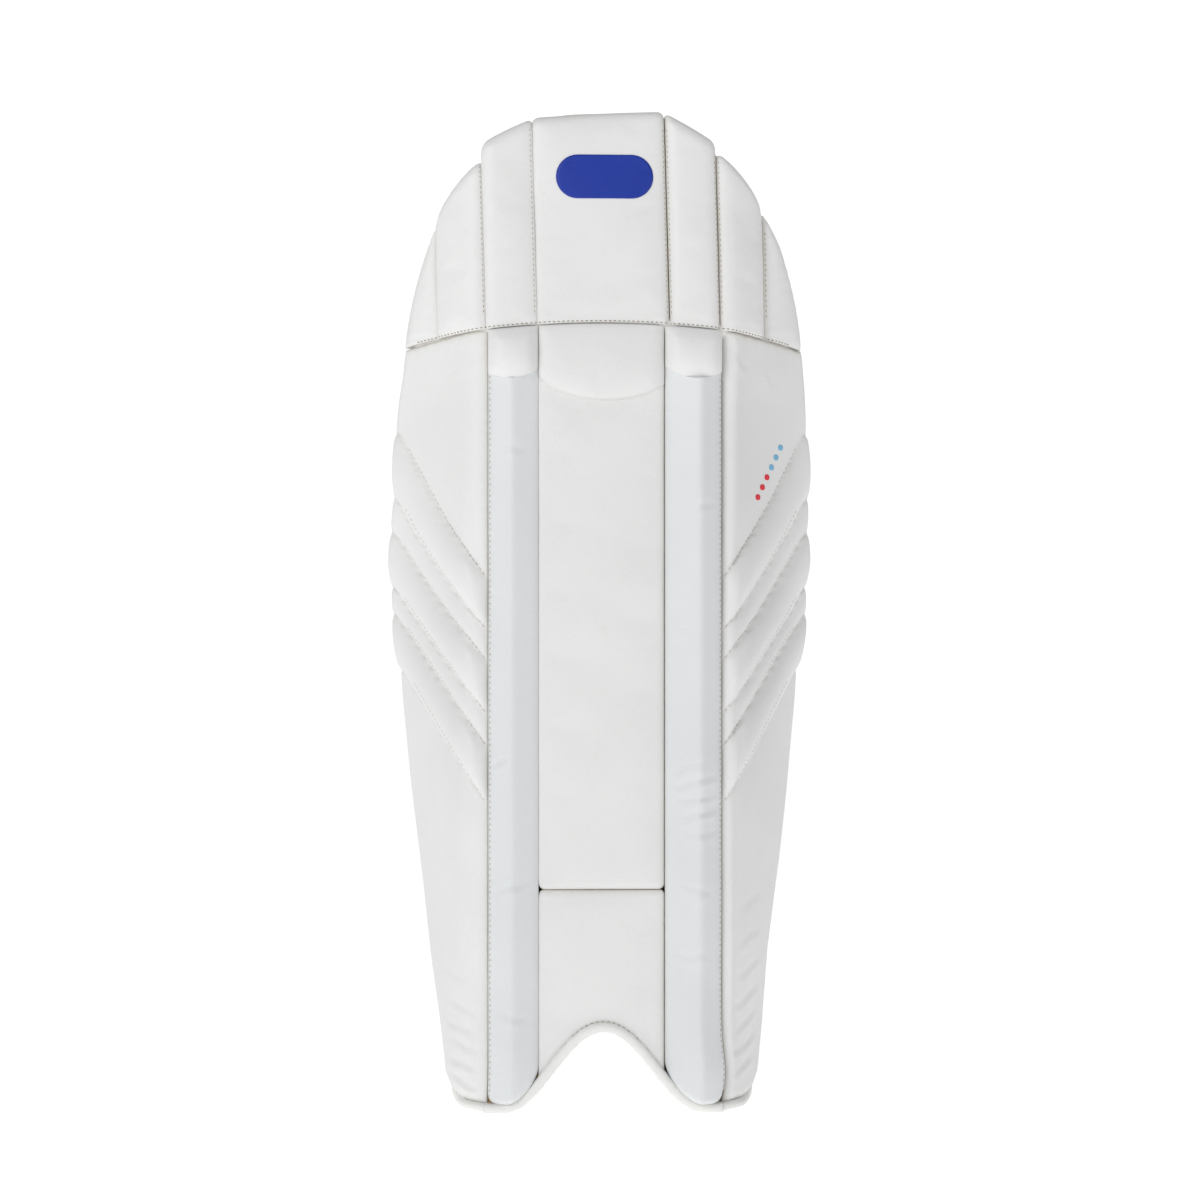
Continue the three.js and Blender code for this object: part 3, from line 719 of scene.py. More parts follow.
def quilting(share, z):
    """Rise of the wing's quilting and the nearness of its stitched lines, at a share of the way
    from the cane to the rim."""
    bow = 4.0 * np.sin(math.pi * share)
    heights = [lerp(cane, rim, share) - bow for cane, rim in QUILT_LINES]
    rise, dip = np.zeros_like(z), np.zeros_like(z)
    for low, high, top in zip(heights[:-1], heights[1:], QUILT_RISES):
        part = np.clip((z - low) / (high - low), 0, 1)
        rise = rise + top * (4 * part * (1 - part)) ** 0.62
    for height in heights:
        dip = np.maximum(dip, np.exp(-((z - height) / 2.0) ** 2))
    above = np.clip((z - heights[-1]) / 26, 0, 1) * (z > heights[-1])
    below = np.clip((heights[0] - z) / 30, 0, 1) * (z < heights[0])
    rise = rise + 1.5 * np.sin(math.pi / 2 * above) + 1.3 * np.sin(math.pi / 2 * below)
    return rise - 0.9 * dip, dip


WING_CREASES = {
    "left": [(76, 14, 93, 21, 0.7, 1.3), (78, 26, 95, 31, 0.75, 1.4), (76, 37, 94, 44, 0.6, 1.5),
             (79, 49, 97, 54, 0.6, 1.7), (77, 61, 96, 68, 0.4, 2.0), (84, 82, 99, 86, 0.3, 2.2),
             (74, 470, 82, 462, 0.5, 1.6), (88, 462, 96, 455, 0.35, 1.4)],
    "right": [(78, 22, 93, 31, 0.7, 1.3), (77, 34, 95, 45, 0.7, 1.4), (79, 47, 95, 60, 0.6, 1.5),
              (78, 62, 97, 76, 0.6, 1.7), (80, 80, 98, 93, 0.5, 1.9), (79, 100, 97, 112, 0.4, 2.0),
              (82, 124, 99, 133, 0.3, 2.2), (79, 470, 90, 458, 0.5, 1.5),
              (100, 462, 108, 450, 0.4, 1.5)],
}


def wing_skin(side, sign):
    """The quilted skin of a wing, stuffed, and rolled round its rim on to the back."""
    radius = (-WING_BACK + 0.4) / 2
    rows = np.unique(np.concatenate([
        5.2 + (1 - np.cos(np.linspace(0, math.pi / 2, 8))) * 7, np.arange(13, 470, 2.2), [470]]))
    up = (rows - 5.2) / (470 - 5.2)
    near = (1 - np.cos(np.linspace(0, math.pi / 2, 7))) * 8 / 58
    across = np.unique(np.concatenate([near, np.linspace(0.16, 1, 24)]))
    share = across[None, :] + 0 * up[:, None]
    z = 0 * share
    for _ in range(6):
        start = cane_edge(side, z) + 0.12
        end_x = lerp(start, wing_rim_at(z), share)
        top = seam_at(end_x) - 0.35
        foot = 5.2 + 2.2 * share + 8.5 * (1 - np.sqrt(1 - np.clip((share - 0.6) / 0.4, 0, 1) ** 2))
        z = foot + (top - foot) * up[:, None]
    wrap = wrap_angle(z)
    rim_rise, _ = quilting(np.ones_like(z), z)
    fade = np.clip((z - 262) / 20, 0, 1) * np.clip((432 - z) / 20, 0, 1)
    outline = rim_line(z, side) + 0.6 - fade * 0.12 * rim_rise
    end = outline - radius * (1 - np.sin(wrap)) - 0.4
    x = lerp(start, end, share)
    bottom_gap, top_gap, cane_gap = z - foot, top - z, (x - start) / np.cos(wrap)
    rise, dip = quilting(share, z)
    rise = rise * (1 - 0.3 * share**3)
    soft = roll_over(bottom_gap, 7) * (0.9 + 0.1 * roll_over(top_gap, 7))
    low_edge = 0.35 if sign > 0 else 0.7
    edge = lerp(low_edge, 1, roll_over(cane_gap, 12 if sign > 0 else 8))
    inner = np.clip(cane_gap / 13, 0, 1) ** 0.7
    nearest = np.minimum(np.minimum(bottom_gap, top_gap), cane_gap)
    proud = -3.0 + soft * edge * (3.2 + rise * inner)
    if sign > 0:
        proud = proud - 2.6 * soft * np.exp(-cane_gap / 3.0) * np.clip((z - 300) / 60, 0, 1)
        ridge = soft * np.exp(-((cane_gap - 9) / 6) ** 2)
        low, high = np.clip((424 - z) / 30, 0, 1), np.clip((z - 394) / 30, 0, 1)
        proud = proud + ridge * (1.4 * low + 1.8 * high)
    proud = proud + 0.9 * soft * edge * np.sin(math.pi * share) * np.clip((z - 440) / 20, 0, 1)
    proud = proud + soft * edge * (
        0.3 * waver(x, z, 75, 40 + sign) + 0.16 * waver(x, z, 17, 50 + sign) * dip)
    proud = proud + 0.3 * soft * edge * np.exp(-cane_gap / 6) * np.sin(
        z * 0.8 + 1.5 * waver(x, z, 30, 9))
    proud = proud + 0.35 * soft * np.exp(-top_gap / 7) * np.sin(x * 0.9 + 2 * waver(x, z, 24, 5))
    proud = proud + soft * edge * creases(x, z, WING_CREASES[side])
    skin = on_face(sign * x, z, proud)
    turns = np.linspace(0, math.pi, 12)[1:]
    rim_x, rim_z, rim_proud = end[:, -1:], z[:, -1:], proud[:, -1:]
    rim_wrap = wrap[:, -1:]
    depth = (rim_proud - WING_BACK + 0.4) / 2
    rolled = on_face(sign * (rim_x + radius * np.sin(turns) * np.cos(rim_wrap)), rim_z,
                     rim_proud - depth * (1 - np.cos(turns)))
    skin = np.concatenate([skin, rolled], 1)
    # Seam marks that drive the painted shade and dirt along the wing's edges and in the dips of its
    # quilting lines.
    seam = np.maximum(np.exp(-nearest / 1.8), 0.55 * dip**3)
    seam = np.concatenate([seam, np.repeat(0.45 * dip[:, -1:] ** 3, len(turns), 1)], 1)
    inside = on_face(sign * lerp(start, end, share), z, WING_BACK - 0.4)
    fold = inside[:, -1:, :] + 0 * rolled
    back = np.concatenate([inside, fold], 1)
    lift = np.linspace(0.15, 0.0, len(turns))[None, :, None]
    back[:, share.shape[1]:, :] += lift * (skin[:, share.shape[1]:, :] - fold)
    piece = closed_form(f"wing_skin_{side}", skin, back, FACING, seam, 0.6)
    body = f"{side}_wing"
    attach(piece, body)
    ribs = [f"wing_rib_{place}_{side}" for place in ("upper", "middle", "lower")]
    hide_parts(f"wing_cover_{side}", f"wing_foam_{side}", *ribs)
    faces[body].append(piece)


for side, sign in SIDES:
    wing_skin(side, sign)

# ---- thigh flap -------------------------------------------------------------------------------


def flap_bottom(x):
    return seam_at(x) + 0.35


def dome_with(first, last, x0, x1):
    """The dome's edge over one channel, lifted or dropped at the channel's two seams."""
    return lambda x: dome_at(x) + lerp(first, last, np.clip((x - x0) / (x1 - x0), 0, 1)) - 0.8


def straight(z0, z1, x0, x1):
    return lambda x: lerp(z0, z1, np.clip((x - x0) / (x1 - x0), 0, 1)) + 0.6 * np.sin(
        math.pi * np.clip((x - x0) / (x1 - x0), 0, 1))


def leaning(x):
    return lambda z: x + lean_at(z)


CHANNELS = [
    ("centre", -41.1, 40.92, straight(614.6, 618.8, -44, 37), 4.5, 1.4, 2.6, ["cover", "foam"]),
    ("inner_left", -72.6, -40.9, straight(598.6, 614.0, -76, -44.5), 3.5, 1.8, 3.0,
     ["cover", "foam"]),
    ("inner_right", 41.08, 72.42, straight(618.0, 600.0, 38, 69), 3.5, 1.8, 3.0, ["cover", "foam"]),
    ("outer_left", -102.1, -72.4, dome_with(7.5, -3.5, -105, -76), 5.5, 1.8, 3.0, ["cover"]),
    ("outer_right", 72.58, 101.92, dome_with(-4.0, 4.4, 69, 99), 5.5, 1.8, 3.0, ["cover"]),
]
for number, (name, left, right, top, corner, crown, rise, parts) in enumerate(CHANNELS):
    faces["thigh_flap"].append(stuffed(
        f"flap_channel_{name}", "thigh_flap", [f"flap_{part}_{name}" for part in parts], FACING,
        leaning(left), leaning(right), flap_bottom, top,
        back=FLAP_BACK, rise=rise, crown=crown, roll=6.5 if name == "centre" else 8.0, deep=3.0,
        corners=(0, corner), seed=60 + number, pucker=0.22,
        on=on_flap if "outer" not in name else on_face, hinged=True,
        held=(0.66 if left < 0 else 0.1, 0.66 if right < 0 else 0.1, 0.85, 0)))
for side, sign in SIDES:
    def seam_edge(z, sign=sign):
        return sign * (FLAP_SIDE_SEAM + (0.08 if sign > 0 else -0.1)) + lean_at(z)

    def dome_edge(z, sign=sign):
        drape = 5.4 * np.clip((578 - z) / 40, 0, 1) if sign > 0 else 1.8
        wide = np.maximum(dome_edge_at(z) - 0.6 + drape, np.abs(seam_edge(z, sign)) + 0.6)
        return sign * wide

    near, far = (seam_edge, dome_edge) if sign > 0 else (dome_edge, seam_edge)
    faces["thigh_flap"].append(stuffed(
        f"flap_channel_side_{side}", "thigh_flap", [f"flap_cover_side_{side}"], FACING,
        near, far, flap_bottom, 551.0 if sign < 0 else 557.0,
        back=FLAP_BACK, rise=1.6, crown=1.2, roll=7, deep=3.0, seed=70 + sign,
        pucker=0.3, hinged=True, step=2.4,
        held=(0.0, 0 if sign > 0 else 0.45, 0.8, 0)))

inflate(loose_covers, 1.5, 0.02, 3.0)
for piece in folding:
    low = 0.474 if "outer" in piece.name or "side" in piece.name else 0.484
    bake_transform(piece)

# ---- strips, linings and piping ---------------------------------------------------------------


def swept(name, path, wide, high, finish, on=on_face, sides=14, squareness=0.55, ripple=0.0):
    """A rounded strip along a path of x, z and proud; wide lies in the face and high stands out
    of it."""
    path = np.asarray(path, float)
    along = np.gradient(path[:, :2], axis=0)
    along /= np.linalg.norm(along, axis=1)[:, None]
    turns = np.linspace(0, 2 * math.pi, sides, endpoint=False)
    round_x = np.sign(np.cos(turns)) * np.abs(np.cos(turns)) ** squareness / 2
    round_y = np.sign(np.sin(turns)) * np.abs(np.sin(turns)) ** squareness / 2
    length = np.concatenate([[0], np.cumsum(np.linalg.norm(np.diff(path[:, :2], axis=0), axis=1))])
    swell = 1 + ripple * np.sin(length * 0.9 + 2 * np.sin(length * 0.13))
    wide, high = np.broadcast_to(wide, len(path)) * swell, np.broadcast_to(high, len(path))
    x = path[:, :1] - along[:, 1:] * round_x * wide[:, None]
    z = path[:, 1:2] + along[:, :1] * round_x * wide[:, None]
    rings = on(x, z, path[:, 2:3] + round_y * high[:, None])
    count = len(path)
    ring = np.arange(count * sides).reshape(count, sides)
    after = np.roll(ring, -1, 1)
    quads = np.stack([ring[:-1], after[:-1], after[1:], ring[1:]], -1).reshape(-1, 4).tolist()
    points = rings.reshape(-1, 3)
    ends = [list(ring[0]), list(ring[-1][::-1])]
    return piece_from(name, points, quads + ends, finish, np.full(len(points), 0.12))


def base_piping():
    x = np.linspace(-CANE_OUTER - 0.3, CANE_OUTER + 0.3, 120)
    slope = np.abs(np.gradient(arch_at(x), x))
    path = np.stack([x, arch_at(x) + 2.6 * np.hypot(1, slope), np.full(120, -6.9)], -1)
    piece = swept("base_piping", path, 6.6, 22.2, PIPING, ripple=0.04, squareness=0.42)
    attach(piece, "shin")
    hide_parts("base_binding")
    return piece


def wing_piping(side, sign):
    """Along the foot of the wing at full depth, then up behind the rolled rim as a thin cord."""
    start, turn_in, turn_up = CANE_SEAMS[side][1] - 0.6, 9.5, 10.5
    last = rim_line(4.0, side) - 2.1
    foot = np.linspace(start, last - turn_in, 14)
    foot_path = np.stack([foot, np.linspace(2.8, 4.2, 14), np.full(14, -4.4)], -1)
    turn = np.linspace(0, 1, 12)[1:-1] * math.pi / 2
    corner = np.stack([last - turn_in + turn_in * np.sin(turn), 4.2 + turn_up * (1 - np.cos(turn)),
                       -4.4 - 0.8 * turn], -1)
    z = np.linspace(4.2 + turn_up, 470, 150)
    tuck = np.clip((z - z[0]) / 34, 0, 1)
    rise = np.stack([rim_line(z, side) - 2.1 - 0.7 * tuck, z, lerp(-5.8, -9.4, tuck)], -1)
    path = np.concatenate([foot_path, corner, rise])
    wide = np.concatenate([np.full(14, 5.6), np.linspace(5.6, 4.8, 10), lerp(4.8, 3.6, tuck)])
    high = np.concatenate([np.full(14, 15.4), np.linspace(15.2, 12.5, 10), lerp(12.4, 4.4, tuck)])
    path[:, 0] *= sign
    piece = swept(f"wing_piping_{side}", path, wide, high, PIPING, ripple=0.03)
    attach(piece, f"{side}_wing")
    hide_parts(f"wing_binding_{side}")
    return piece


def flap_piping():
    turn = np.linspace(-1, 1, 140) * (math.pi / 2 - 0.07)
    x = (FLAP_HALF - 3.4) * np.sin(turn)
    z = dome_at(x * FLAP_HALF / (FLAP_HALF - 3.4)) - 3.6
    path = np.stack([x, z, np.full(140, -11.6)], -1)
    piece = swept("flap_piping", path, 4.4, 5.2, PIPING, on=on_flap, ripple=0.03)
    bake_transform(piece)
    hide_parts("flap_binding")
    return piece


def cloth(name, node, body, left, right, bottom, top, front, thick, on=on_face, seed=1, step=5.0):
    """A lining: one sheet of knitted cloth, drawn tight over the filling."""
    x, z, gaps, a, b = layout(left, right, bottom, top, step, 4.0)
    nearest = np.minimum.reduce([np.maximum(0, g) for g in gaps])
    sag = 0.22 * waver(x, z, 42, seed) * np.clip(nearest / 9, 0, 1)
    edge = 0.5 * thick * (1 - roll_over(nearest, 2.5))
    outer = on(x, z, front - edge)
    inner = on(x, z, front - thick + edge - 0.001 - 0.3 - sag)
    # Seam marks for the lining's painted shade and dirt, strongest at its edges.
    piece = closed_form(name, outer, inner, LINING, np.exp(-nearest / 2), 0.0)
    marks = np.concatenate([np.exp(-nearest / 2).ravel()] * 2)
    piece.data.attributes["seam"].data.foreach_set("value", marks.astype(np.float32))
    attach(piece, body)
    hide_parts(node)
    spot = on(x, z, front)
    side_a, side_b = spot[:-1, 1:] - spot[:-1, :-1], spot[1:, :-1] - spot[:-1, :-1]
    area = float(np.linalg.norm(np.cross(side_a, side_b), axis=-1).sum())
    wide = max(float(np.linalg.norm(np.diff(row, axis=0), axis=1).sum()) for row in spot)
    tall = max(float(np.linalg.norm(np.diff(spot[:, i], axis=0), axis=1).sum())
               for i in range(spot.shape[1]))
    return piece


def cushion(name, node, left, right, bottom, top, front, thick, seed, channels=0):
    """A leg-side cushion with a flat front on the lining and a crowned, channelled back."""
    bottom, top = (rounded(edge, left, right, 9, way) for edge, way in ((bottom, 1), (top, -1)))
    x, z, gaps, a, b = layout(left, right, bottom, top, 2.6, 8.0)
    gaps = [np.maximum(0, g) for g in gaps]
    soft = np.ones_like(x)
    for gap in gaps:
        soft = soft * roll_over(gap, 8)
    nearest = np.minimum.reduce(gaps)
    dome = (4 * a * (1 - a)) ** 0.5 * (4 * b * (1 - b)) ** 0.3
    sewn = np.zeros_like(x)
    for k in range(1, channels + 1):
        off = (b - k / (channels + 1)) * (gaps[2] + gaps[3])
        sewn = np.maximum(sewn, np.exp(-(off / 3.2) ** 2))
    puff = soft * (0.72 + 0.28 * dome) * (1 - 0.42 * sewn)
    puff = puff + 0.02 * soft * waver(x, z, 16, seed) + 0.03 * np.exp(-nearest / 5) * soft * np.sin(
        (x + z) * 0.9)
    back = front - 1.2 - (thick - 1.2) * puff
    piece = closed_form(name, on_face(x, z, front), on_face(x, z, back), TOWEL)
    # Seam marks for the knit's painted shade and dirt: the whole front, where it lies on the
    # lining, and the sewn channels of the back.
    marks = np.concatenate([np.ones(x.size), np.maximum(np.exp(-nearest / 2.0), sewn).ravel()])
    piece.data.attributes["seam"].data.foreach_set("value", marks.astype(np.float32))
    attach(piece, "shin")
    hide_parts(node)
    return piece


base_piping()
for side, sign in SIDES:
    wing_piping(side, sign)
flap_piping()
backs = [cloth("shin_lining_cloth", "shin_lining", "shin", -CANE_OUTER, CANE_OUTER,
               lambda x: foot_at(x) + 0.2, lambda x: seam_at(x) - 3.5, -16.5, 1.6, seed=80)]
for side, sign in SIDES:
    def rim_edge(z, side=side, sign=sign):
        return sign * (rim_line(z, side) - 5.5)

    left, right = (WING_START, rim_edge) if sign > 0 else (rim_edge, -WING_START)
    backs.append(cloth(
        f"wing_lining_cloth_{side}", f"wing_lining_{side}", f"{side}_wing", left, right, 5.6,
        lambda x: seam_at(x) - 3.5, -10.2, 1.3, seed=82 + sign))
flap_x, flap_b = np.meshgrid(np.linspace(-1, 1, 70), np.linspace(0, 1, 30))


def flap_lining_cloth():
    x = (FLAP_HALF - 6) * np.sin(flap_x * (math.pi / 2 - 0.2))
    top = FLAP_BASE + (HEIGHT - FLAP_BASE - 6) * (
        1 - np.clip(np.abs(x) / (FLAP_HALF - 6), 0, 1) ** FLAP_SPREAD) ** FLAP_ROUND
    low = seam_at(x) + 1.0
    z = lerp(low, top, flap_b)
    nearest = np.minimum(z - low, top - z)
    edge = 0.8 * (1 - roll_over(nearest, 2.5))
    seams = np.zeros_like(x)
    for seam_x in FLAP_SEAMS:
        seams = np.maximum(seams, np.exp(-((x - seam_x - lean_at(z)) / 2.4) ** 2))
    quilt = 0.7 * seams - 0.35
    outer = on_flap(x, z, -12.4 - edge)
    inner = on_flap(x, z, -14.2 + edge + np.clip(nearest / 6, 0, 1) * quilt)
    piece = closed_form("flap_lining_cloth", outer, inner, LINING)
    # Seam marks for painted shade and dirt at the lining's edges and along its quilted seams.
    marks = np.concatenate([np.maximum(np.exp(-nearest / 2), 0.6 * seams).ravel()] * 2)
    piece.data.attributes["seam"].data.foreach_set("value", marks.astype(np.float32))
    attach(piece, "thigh_flap")
    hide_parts("flap_lining")
    spot = on_flap(x, z, -12.4)
    return piece


backs.append(flap_lining_cloth())
cushion("knee_cushion_pad", "knee_cushion", -42.0, 42.0, 377.0, 465.0, -18.5, 11.0, 90, channels=2)
for side, sign in SIDES:
    low, high = sorted((sign * 16.0, sign * 50.0))
    cushion(f"leg_bolster_pad_{side}", f"leg_bolster_{side}", low, high, 62.0, 369.0, -18.5, 8.6,
            91 + sign, channels=6)


def knee_hem():
    """Strips under the knee seam: facing in front and lining behind."""
    across = np.linspace(-120.5, 122.0, 180)[None, :]
    up = np.linspace(-1, 1, 17)[:, None]
    x = across + 0 * up
    sides = np.clip((np.abs(x) - 78) / 14, 0, 1)
    z = seam_at(x) + 5.0 * up
    full = np.clip(1 - np.abs(up), 0, 1) ** 0.5
    rim = np.clip((np.where(x < 0, 120.5, 122.0) - np.abs(x)) / 5, 0, 1) ** 0.5
    outer = on_face(x, z, lerp(-3.4, lerp(0.4, -0.2, sides), full) - 3 * (1 - rim))
    inner = on_face(x, z, lerp(-6.0, -10.5, sides * rim) + 0 * x)
    # Painted shade and dirt along the knee seam line.
    mark = 0.75 * np.exp(-((z - seam_at(x)) / 1.2) ** 2)
    piece = closed_form("knee_hem", outer, inner, FACING, mark, 0.3)
    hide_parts("knee_seam_tape")
    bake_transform(piece)
    up = np.linspace(-1, 1, 13)[:, None]
    x = np.linspace(-72, 72, 60)[None, :] + 0 * up
    z = seam_at(x) + 6.0 * up
    outer = on_face(x, z, -13.1 - 2.2 * (1 - np.clip(up, 0, 1)) ** 2)
    inner = outer + np.array([0, 1.3 * MM, 0])
    liner = closed_form("knee_liner", outer, inner, LINING, 0.4 + 0 * x, 0.4)
    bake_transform(liner)


knee_hem()


def wing_gusset(side, sign):
    """A strip of lining across the wing's hinge, behind the filling."""
    across = np.linspace(0, 1, 15)[None, :]
    z = np.linspace(9, 468, 90)[:, None] + 0 * across
    x = sign * lerp(67.0, 85.0, across) + 0 * z
    proud = lerp(-16.0, -9.4, across) + 0 * z
    gusset = closed_form(f"wing_gusset_{side}", on_face(x, z, proud), on_face(x, z, proud - 0.7),
                         LINING, 0.2 + 0 * x, 0.2)
    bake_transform(gusset)


for side, sign in SIDES:
    wing_gusset(side, sign)

# ---- straps -----------------------------------------------------------------------------------


def strap_bow(height):
    ends = [on_face(wing_rim_at(z) - 2.5, z, -14.4) / MM for z in (
        height - STRAP_WIDTH / 2, height + STRAP_WIDTH / 2)]
    half = min(end[0] for end in ends) - 1.5
    start = max(end[1] for end in ends) + 1.5
    bow = STRAP_BOW * half

    def at(turn, outward=0.0):
        turn = np.asarray(turn, float)
        normal = np.stack([-bow * np.cos(turn), half * np.sin(turn)], -1)
        normal /= np.linalg.norm(normal, axis=-1)[..., None]
        spot = np.stack([-half * np.cos(turn), start + bow * np.sin(turn)], -1)
        return spot + outward * normal

    return at


def band(name, finish, path, low, high, thick, seam_rows=True):
    """A flat strap along a path of x and y at each height, with soft rounded edges."""
    rows = np.unique(np.concatenate([
        (1 - np.cos(np.linspace(0, math.pi / 2, 5))) * 1.6, np.arange(2.4, (high - low) - 2, 1.5),
        (high - low) - (1 - np.cos(np.linspace(0, math.pi / 2, 5))) * 1.6]))
    z = low + rows[:, None]
    lines = np.stack([path(float(height)) for height in z[:, 0]])
    along = np.gradient(lines, axis=1)
    along /= np.linalg.norm(along, axis=-1)[..., None]
    normal = np.stack([along[..., 1], -along[..., 0]], -1)
    gap = np.minimum(rows, (high - low) - rows)[:, None]
    half = thick / 2 * (0.25 + 0.75 * roll_over(gap, 1.6))
    length = np.concatenate([[0], np.cumsum(np.linalg.norm(np.diff(lines[0], axis=0), axis=1))])
    end_gap = np.minimum(length, length[-1] - length)[None, :]
    half = half * (0.3 + 0.7 * roll_over(end_gap, 1.4))
    dent = 0.22 * np.exp(-((gap - 3.6) / 0.7) ** 2) if seam_rows else 0 * gap
    half = np.maximum(0.2, half - dent)
    sides = []
    for way in (1, -1):
        flat = lines + way * half[..., None] * normal
        heights = np.broadcast_to(z[..., None], (*flat.shape[:2], 1))
        sides.append(np.concatenate([flat, heights], -1))
    front, back = sides
    marks = 0.5 * np.exp(-((gap - 3.6) / 0.8) ** 2) + 0 * half
    piece = closed_form(name, front * MM, back * MM, finish, marks, 0.0)
    return piece


def resample(points, count, passes=4):
    """Even points along a path, smoothed."""
    points = np.asarray(points, float)
    for _ in range(2):
        length = np.concatenate([[0], np.cumsum(np.linalg.norm(np.diff(points, axis=0), axis=1))])
        even_at = np.linspace(0, length[-1], count)
        points = np.stack([np.interp(even_at, length, points[:, k]) for k in (0, 1)], -1)
        for _ in range(passes):
            points[1:-1] = (points[:-2] + 2 * points[1:-1] + points[2:]) / 4
    return points


for name, height in STRAPS.items():
    bow = strap_bow(height)
    low, high = height - STRAP_WIDTH / 2, height + STRAP_WIDTH / 2
    arc = np.linspace(0.06, 2.75, 110)
    strap = band(f"strap_{name}_web", WEBBING, lambda z, bow=bow, arc=arc: bow(arc), low, high,
                 STRAP_THICK)
    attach(strap, f"{name}_strap")
    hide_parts(f"strap_{name}")
    arc = np.linspace(2.12, 2.7, 40)
    hooks = band(f"hook_tape_{name}", HOOKS, lambda z, bow=bow, arc=arc: bow(arc, -2.05), low + 3,
                 high - 3, 1.0, seam_rows=False)
    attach(hooks, f"{name}_strap")
    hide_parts(f"hook_patch_{name}")
    loops = band(f"loop_tape_{name}", LOOPS, lambda z, bow=bow, arc=arc: bow(arc, -3.65), low + 3,
                 high - 3, 1.0, seam_rows=False)
    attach(loops, "right_wing")
    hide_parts(f"loop_patch_{name}")

    def tab_path(z, bow=bow):
        on_wing = [on_face(wing_rim_at(z) - inset, z, -13.95)[:2] / MM for inset in (14, 7, 2.5)]
        return resample([*on_wing, *bow(np.linspace(2.95, 2.05, 12), -5.7)], 60)

    tab = band(f"strap_tab_{name}_web", WEBBING, tab_path, low, high, STRAP_THICK)
    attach(tab, "right_wing")
    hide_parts(f"strap_tab_{name}")

    def root_path(z, bow=bow):
        insets = np.linspace(14, 3.5, 12)
        on_wing = np.stack([on_face(-(wing_rim_at(z) - i), z, -13.15)[:2] / MM for i in insets])
        return resample([*on_wing, *bow(np.linspace(-0.01, 0.1, 4))], 40, 3)

    root = band(f"strap_root_{name}_web", WEBBING, root_path, low, high, STRAP_THICK)
    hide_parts(f"strap_root_{name}")
    pivot, reach = bow(0.0), bow(0.1)
    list((pivot - (0, 5)) * MM)
    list((reach + (0, 1)) * MM)
    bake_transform(root)

# ---- sewing and print, laid on to the finished pieces -----------------------------------------


def laid_on(pieces, way):
    """Finds the surface of some pieces from the front (way 1) or from behind (way -1)."""
    points, polygons = [], []
    for piece in pieces:
        first = len(points)
        points += [v.co.copy() for v in piece.data.vertices]
        polygons += [[first + v for v in p.vertices] for p in piece.data.polygons]
    tree = BVHTree.FromPolygons(points, polygons)

    def find(x, z):
        start = Vector((x * MM, -way * 0.5, z * MM))
        spot, normal, _, _ = tree.ray_cast(start, Vector((0, way, 0)))
        if spot is None:
            return None
        if normal.y * way > 0:
            normal = -normal
        return np.array(spot), np.array(normal)

    return find


def stitches(name, body, paths, find, pitch=3.6, long=2.5, radius=0.34, sink=0.12, joins=None,
             finish=None):
    """Rows of thread stitches along paths of x and z, each a short rounded bar on the surface."""
    rings = [(-1.0, 0.12), (-0.82, 0.8), (-0.3, 1.0), (0.3, 1.0), (0.82, 0.8), (1.0, 0.12)]
    corners = np.linspace(0, 2 * math.pi, 6, endpoint=False)
    points, polygons = [], []
    for path in paths:
        found = [find(x, z) for x, z in path]
        found = [f for f in found if f is not None]
        if len(found) < 2:
            continue
        spots, normals = (np.array([f[i] for f in found]) for i in (0, 1))
        length = np.concatenate([[0], np.cumsum(np.linalg.norm(np.diff(spots, axis=0), axis=1))])
        for at in np.arange(pitch / 2, length[-1] / MM, pitch):
            ends = [np.array([np.interp((at + d * long / 2) * MM, length, spots[:, k])
                              for k in range(3)]) for d in (-1, 1)]
            normal = np.array([np.interp(at * MM, length, normals[:, k]) for k in range(3)])
            normal /= np.linalg.norm(normal)
            run = ends[1] - ends[0]
            if np.linalg.norm(run) < 0.4 * long * MM:
                continue
            run /= np.linalg.norm(run)
            side = np.cross(run, normal)
            middle = (ends[0] + ends[1]) / 2 + normal * (radius - sink) * MM * 0.6
            first = len(points)
            for along, size in rings:
                dip = -0.35 * along**2 * radius
                for turn in corners:
                    points.append(middle + run * along * long / 2 * MM + MM * radius * size * (
                        side * math.cos(turn) + normal * math.sin(turn)) + normal * dip * MM)
            for r in range(len(rings) - 1):
                for c in range(6):
                    d = (c + 1) % 6
                    polygons.append([first + r * 6 + c, first + r * 6 + d,
                                     first + r * 6 + 6 + d, first + r * 6 + 6 + c])
            polygons.append([first + c for c in range(5, -1, -1)])
            polygons.append([first + (len(rings) - 1) * 6 + c for c in range(6)])
    piece = piece_from(name, points, polygons, finish or THREAD)
    if joins:
        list(joins[:2])
        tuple(joins[2])
        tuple(joins[3])
        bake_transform(piece)
    else:
        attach(piece, body)
    return piece


def row(x0, z0, x1, z1, count=60):
    return list(zip(np.linspace(x0, x1, count), np.linspace(z0, z1, count)))


find_shin = laid_on(faces["shin"], 1)
edges = []
for side, sign in SIDES:
    z = np.linspace(9, 455, 220)
    edges.append(list(zip(sign * (cane_edge(side, z) - 1.3), z)))
x = np.linspace(-38, 37, 60)
edges.append(list(zip(x, foot_at(x) + 1.9)))
stitches("cane_edge_stitches", "shin", edges, find_shin, pitch=3.5, long=1.5, radius=0.23,
         finish=NEEDLE_HOLE_SHADE_THREAD)

for side, sign in SIDES:
    find_wing = laid_on(faces[f"{side}_wing"], 1)
    rows = []
    for cane, rim in QUILT_LINES:
        path = []
        for share in np.linspace(0.03, 0.93, 60):
            z = lerp(cane, rim, share) - 4.0 * math.sin(math.pi * share)
            path.append((sign * lerp(CANE_SEAMS[side][1], rim_line(z, side) - 3.5, share), z))
        rows.append(path)
    stitches(f"quilting_stitches_{side}", f"{side}_wing", rows, find_wing, pitch=3.8, long=2.2,
             radius=0.28, sink=0.25)

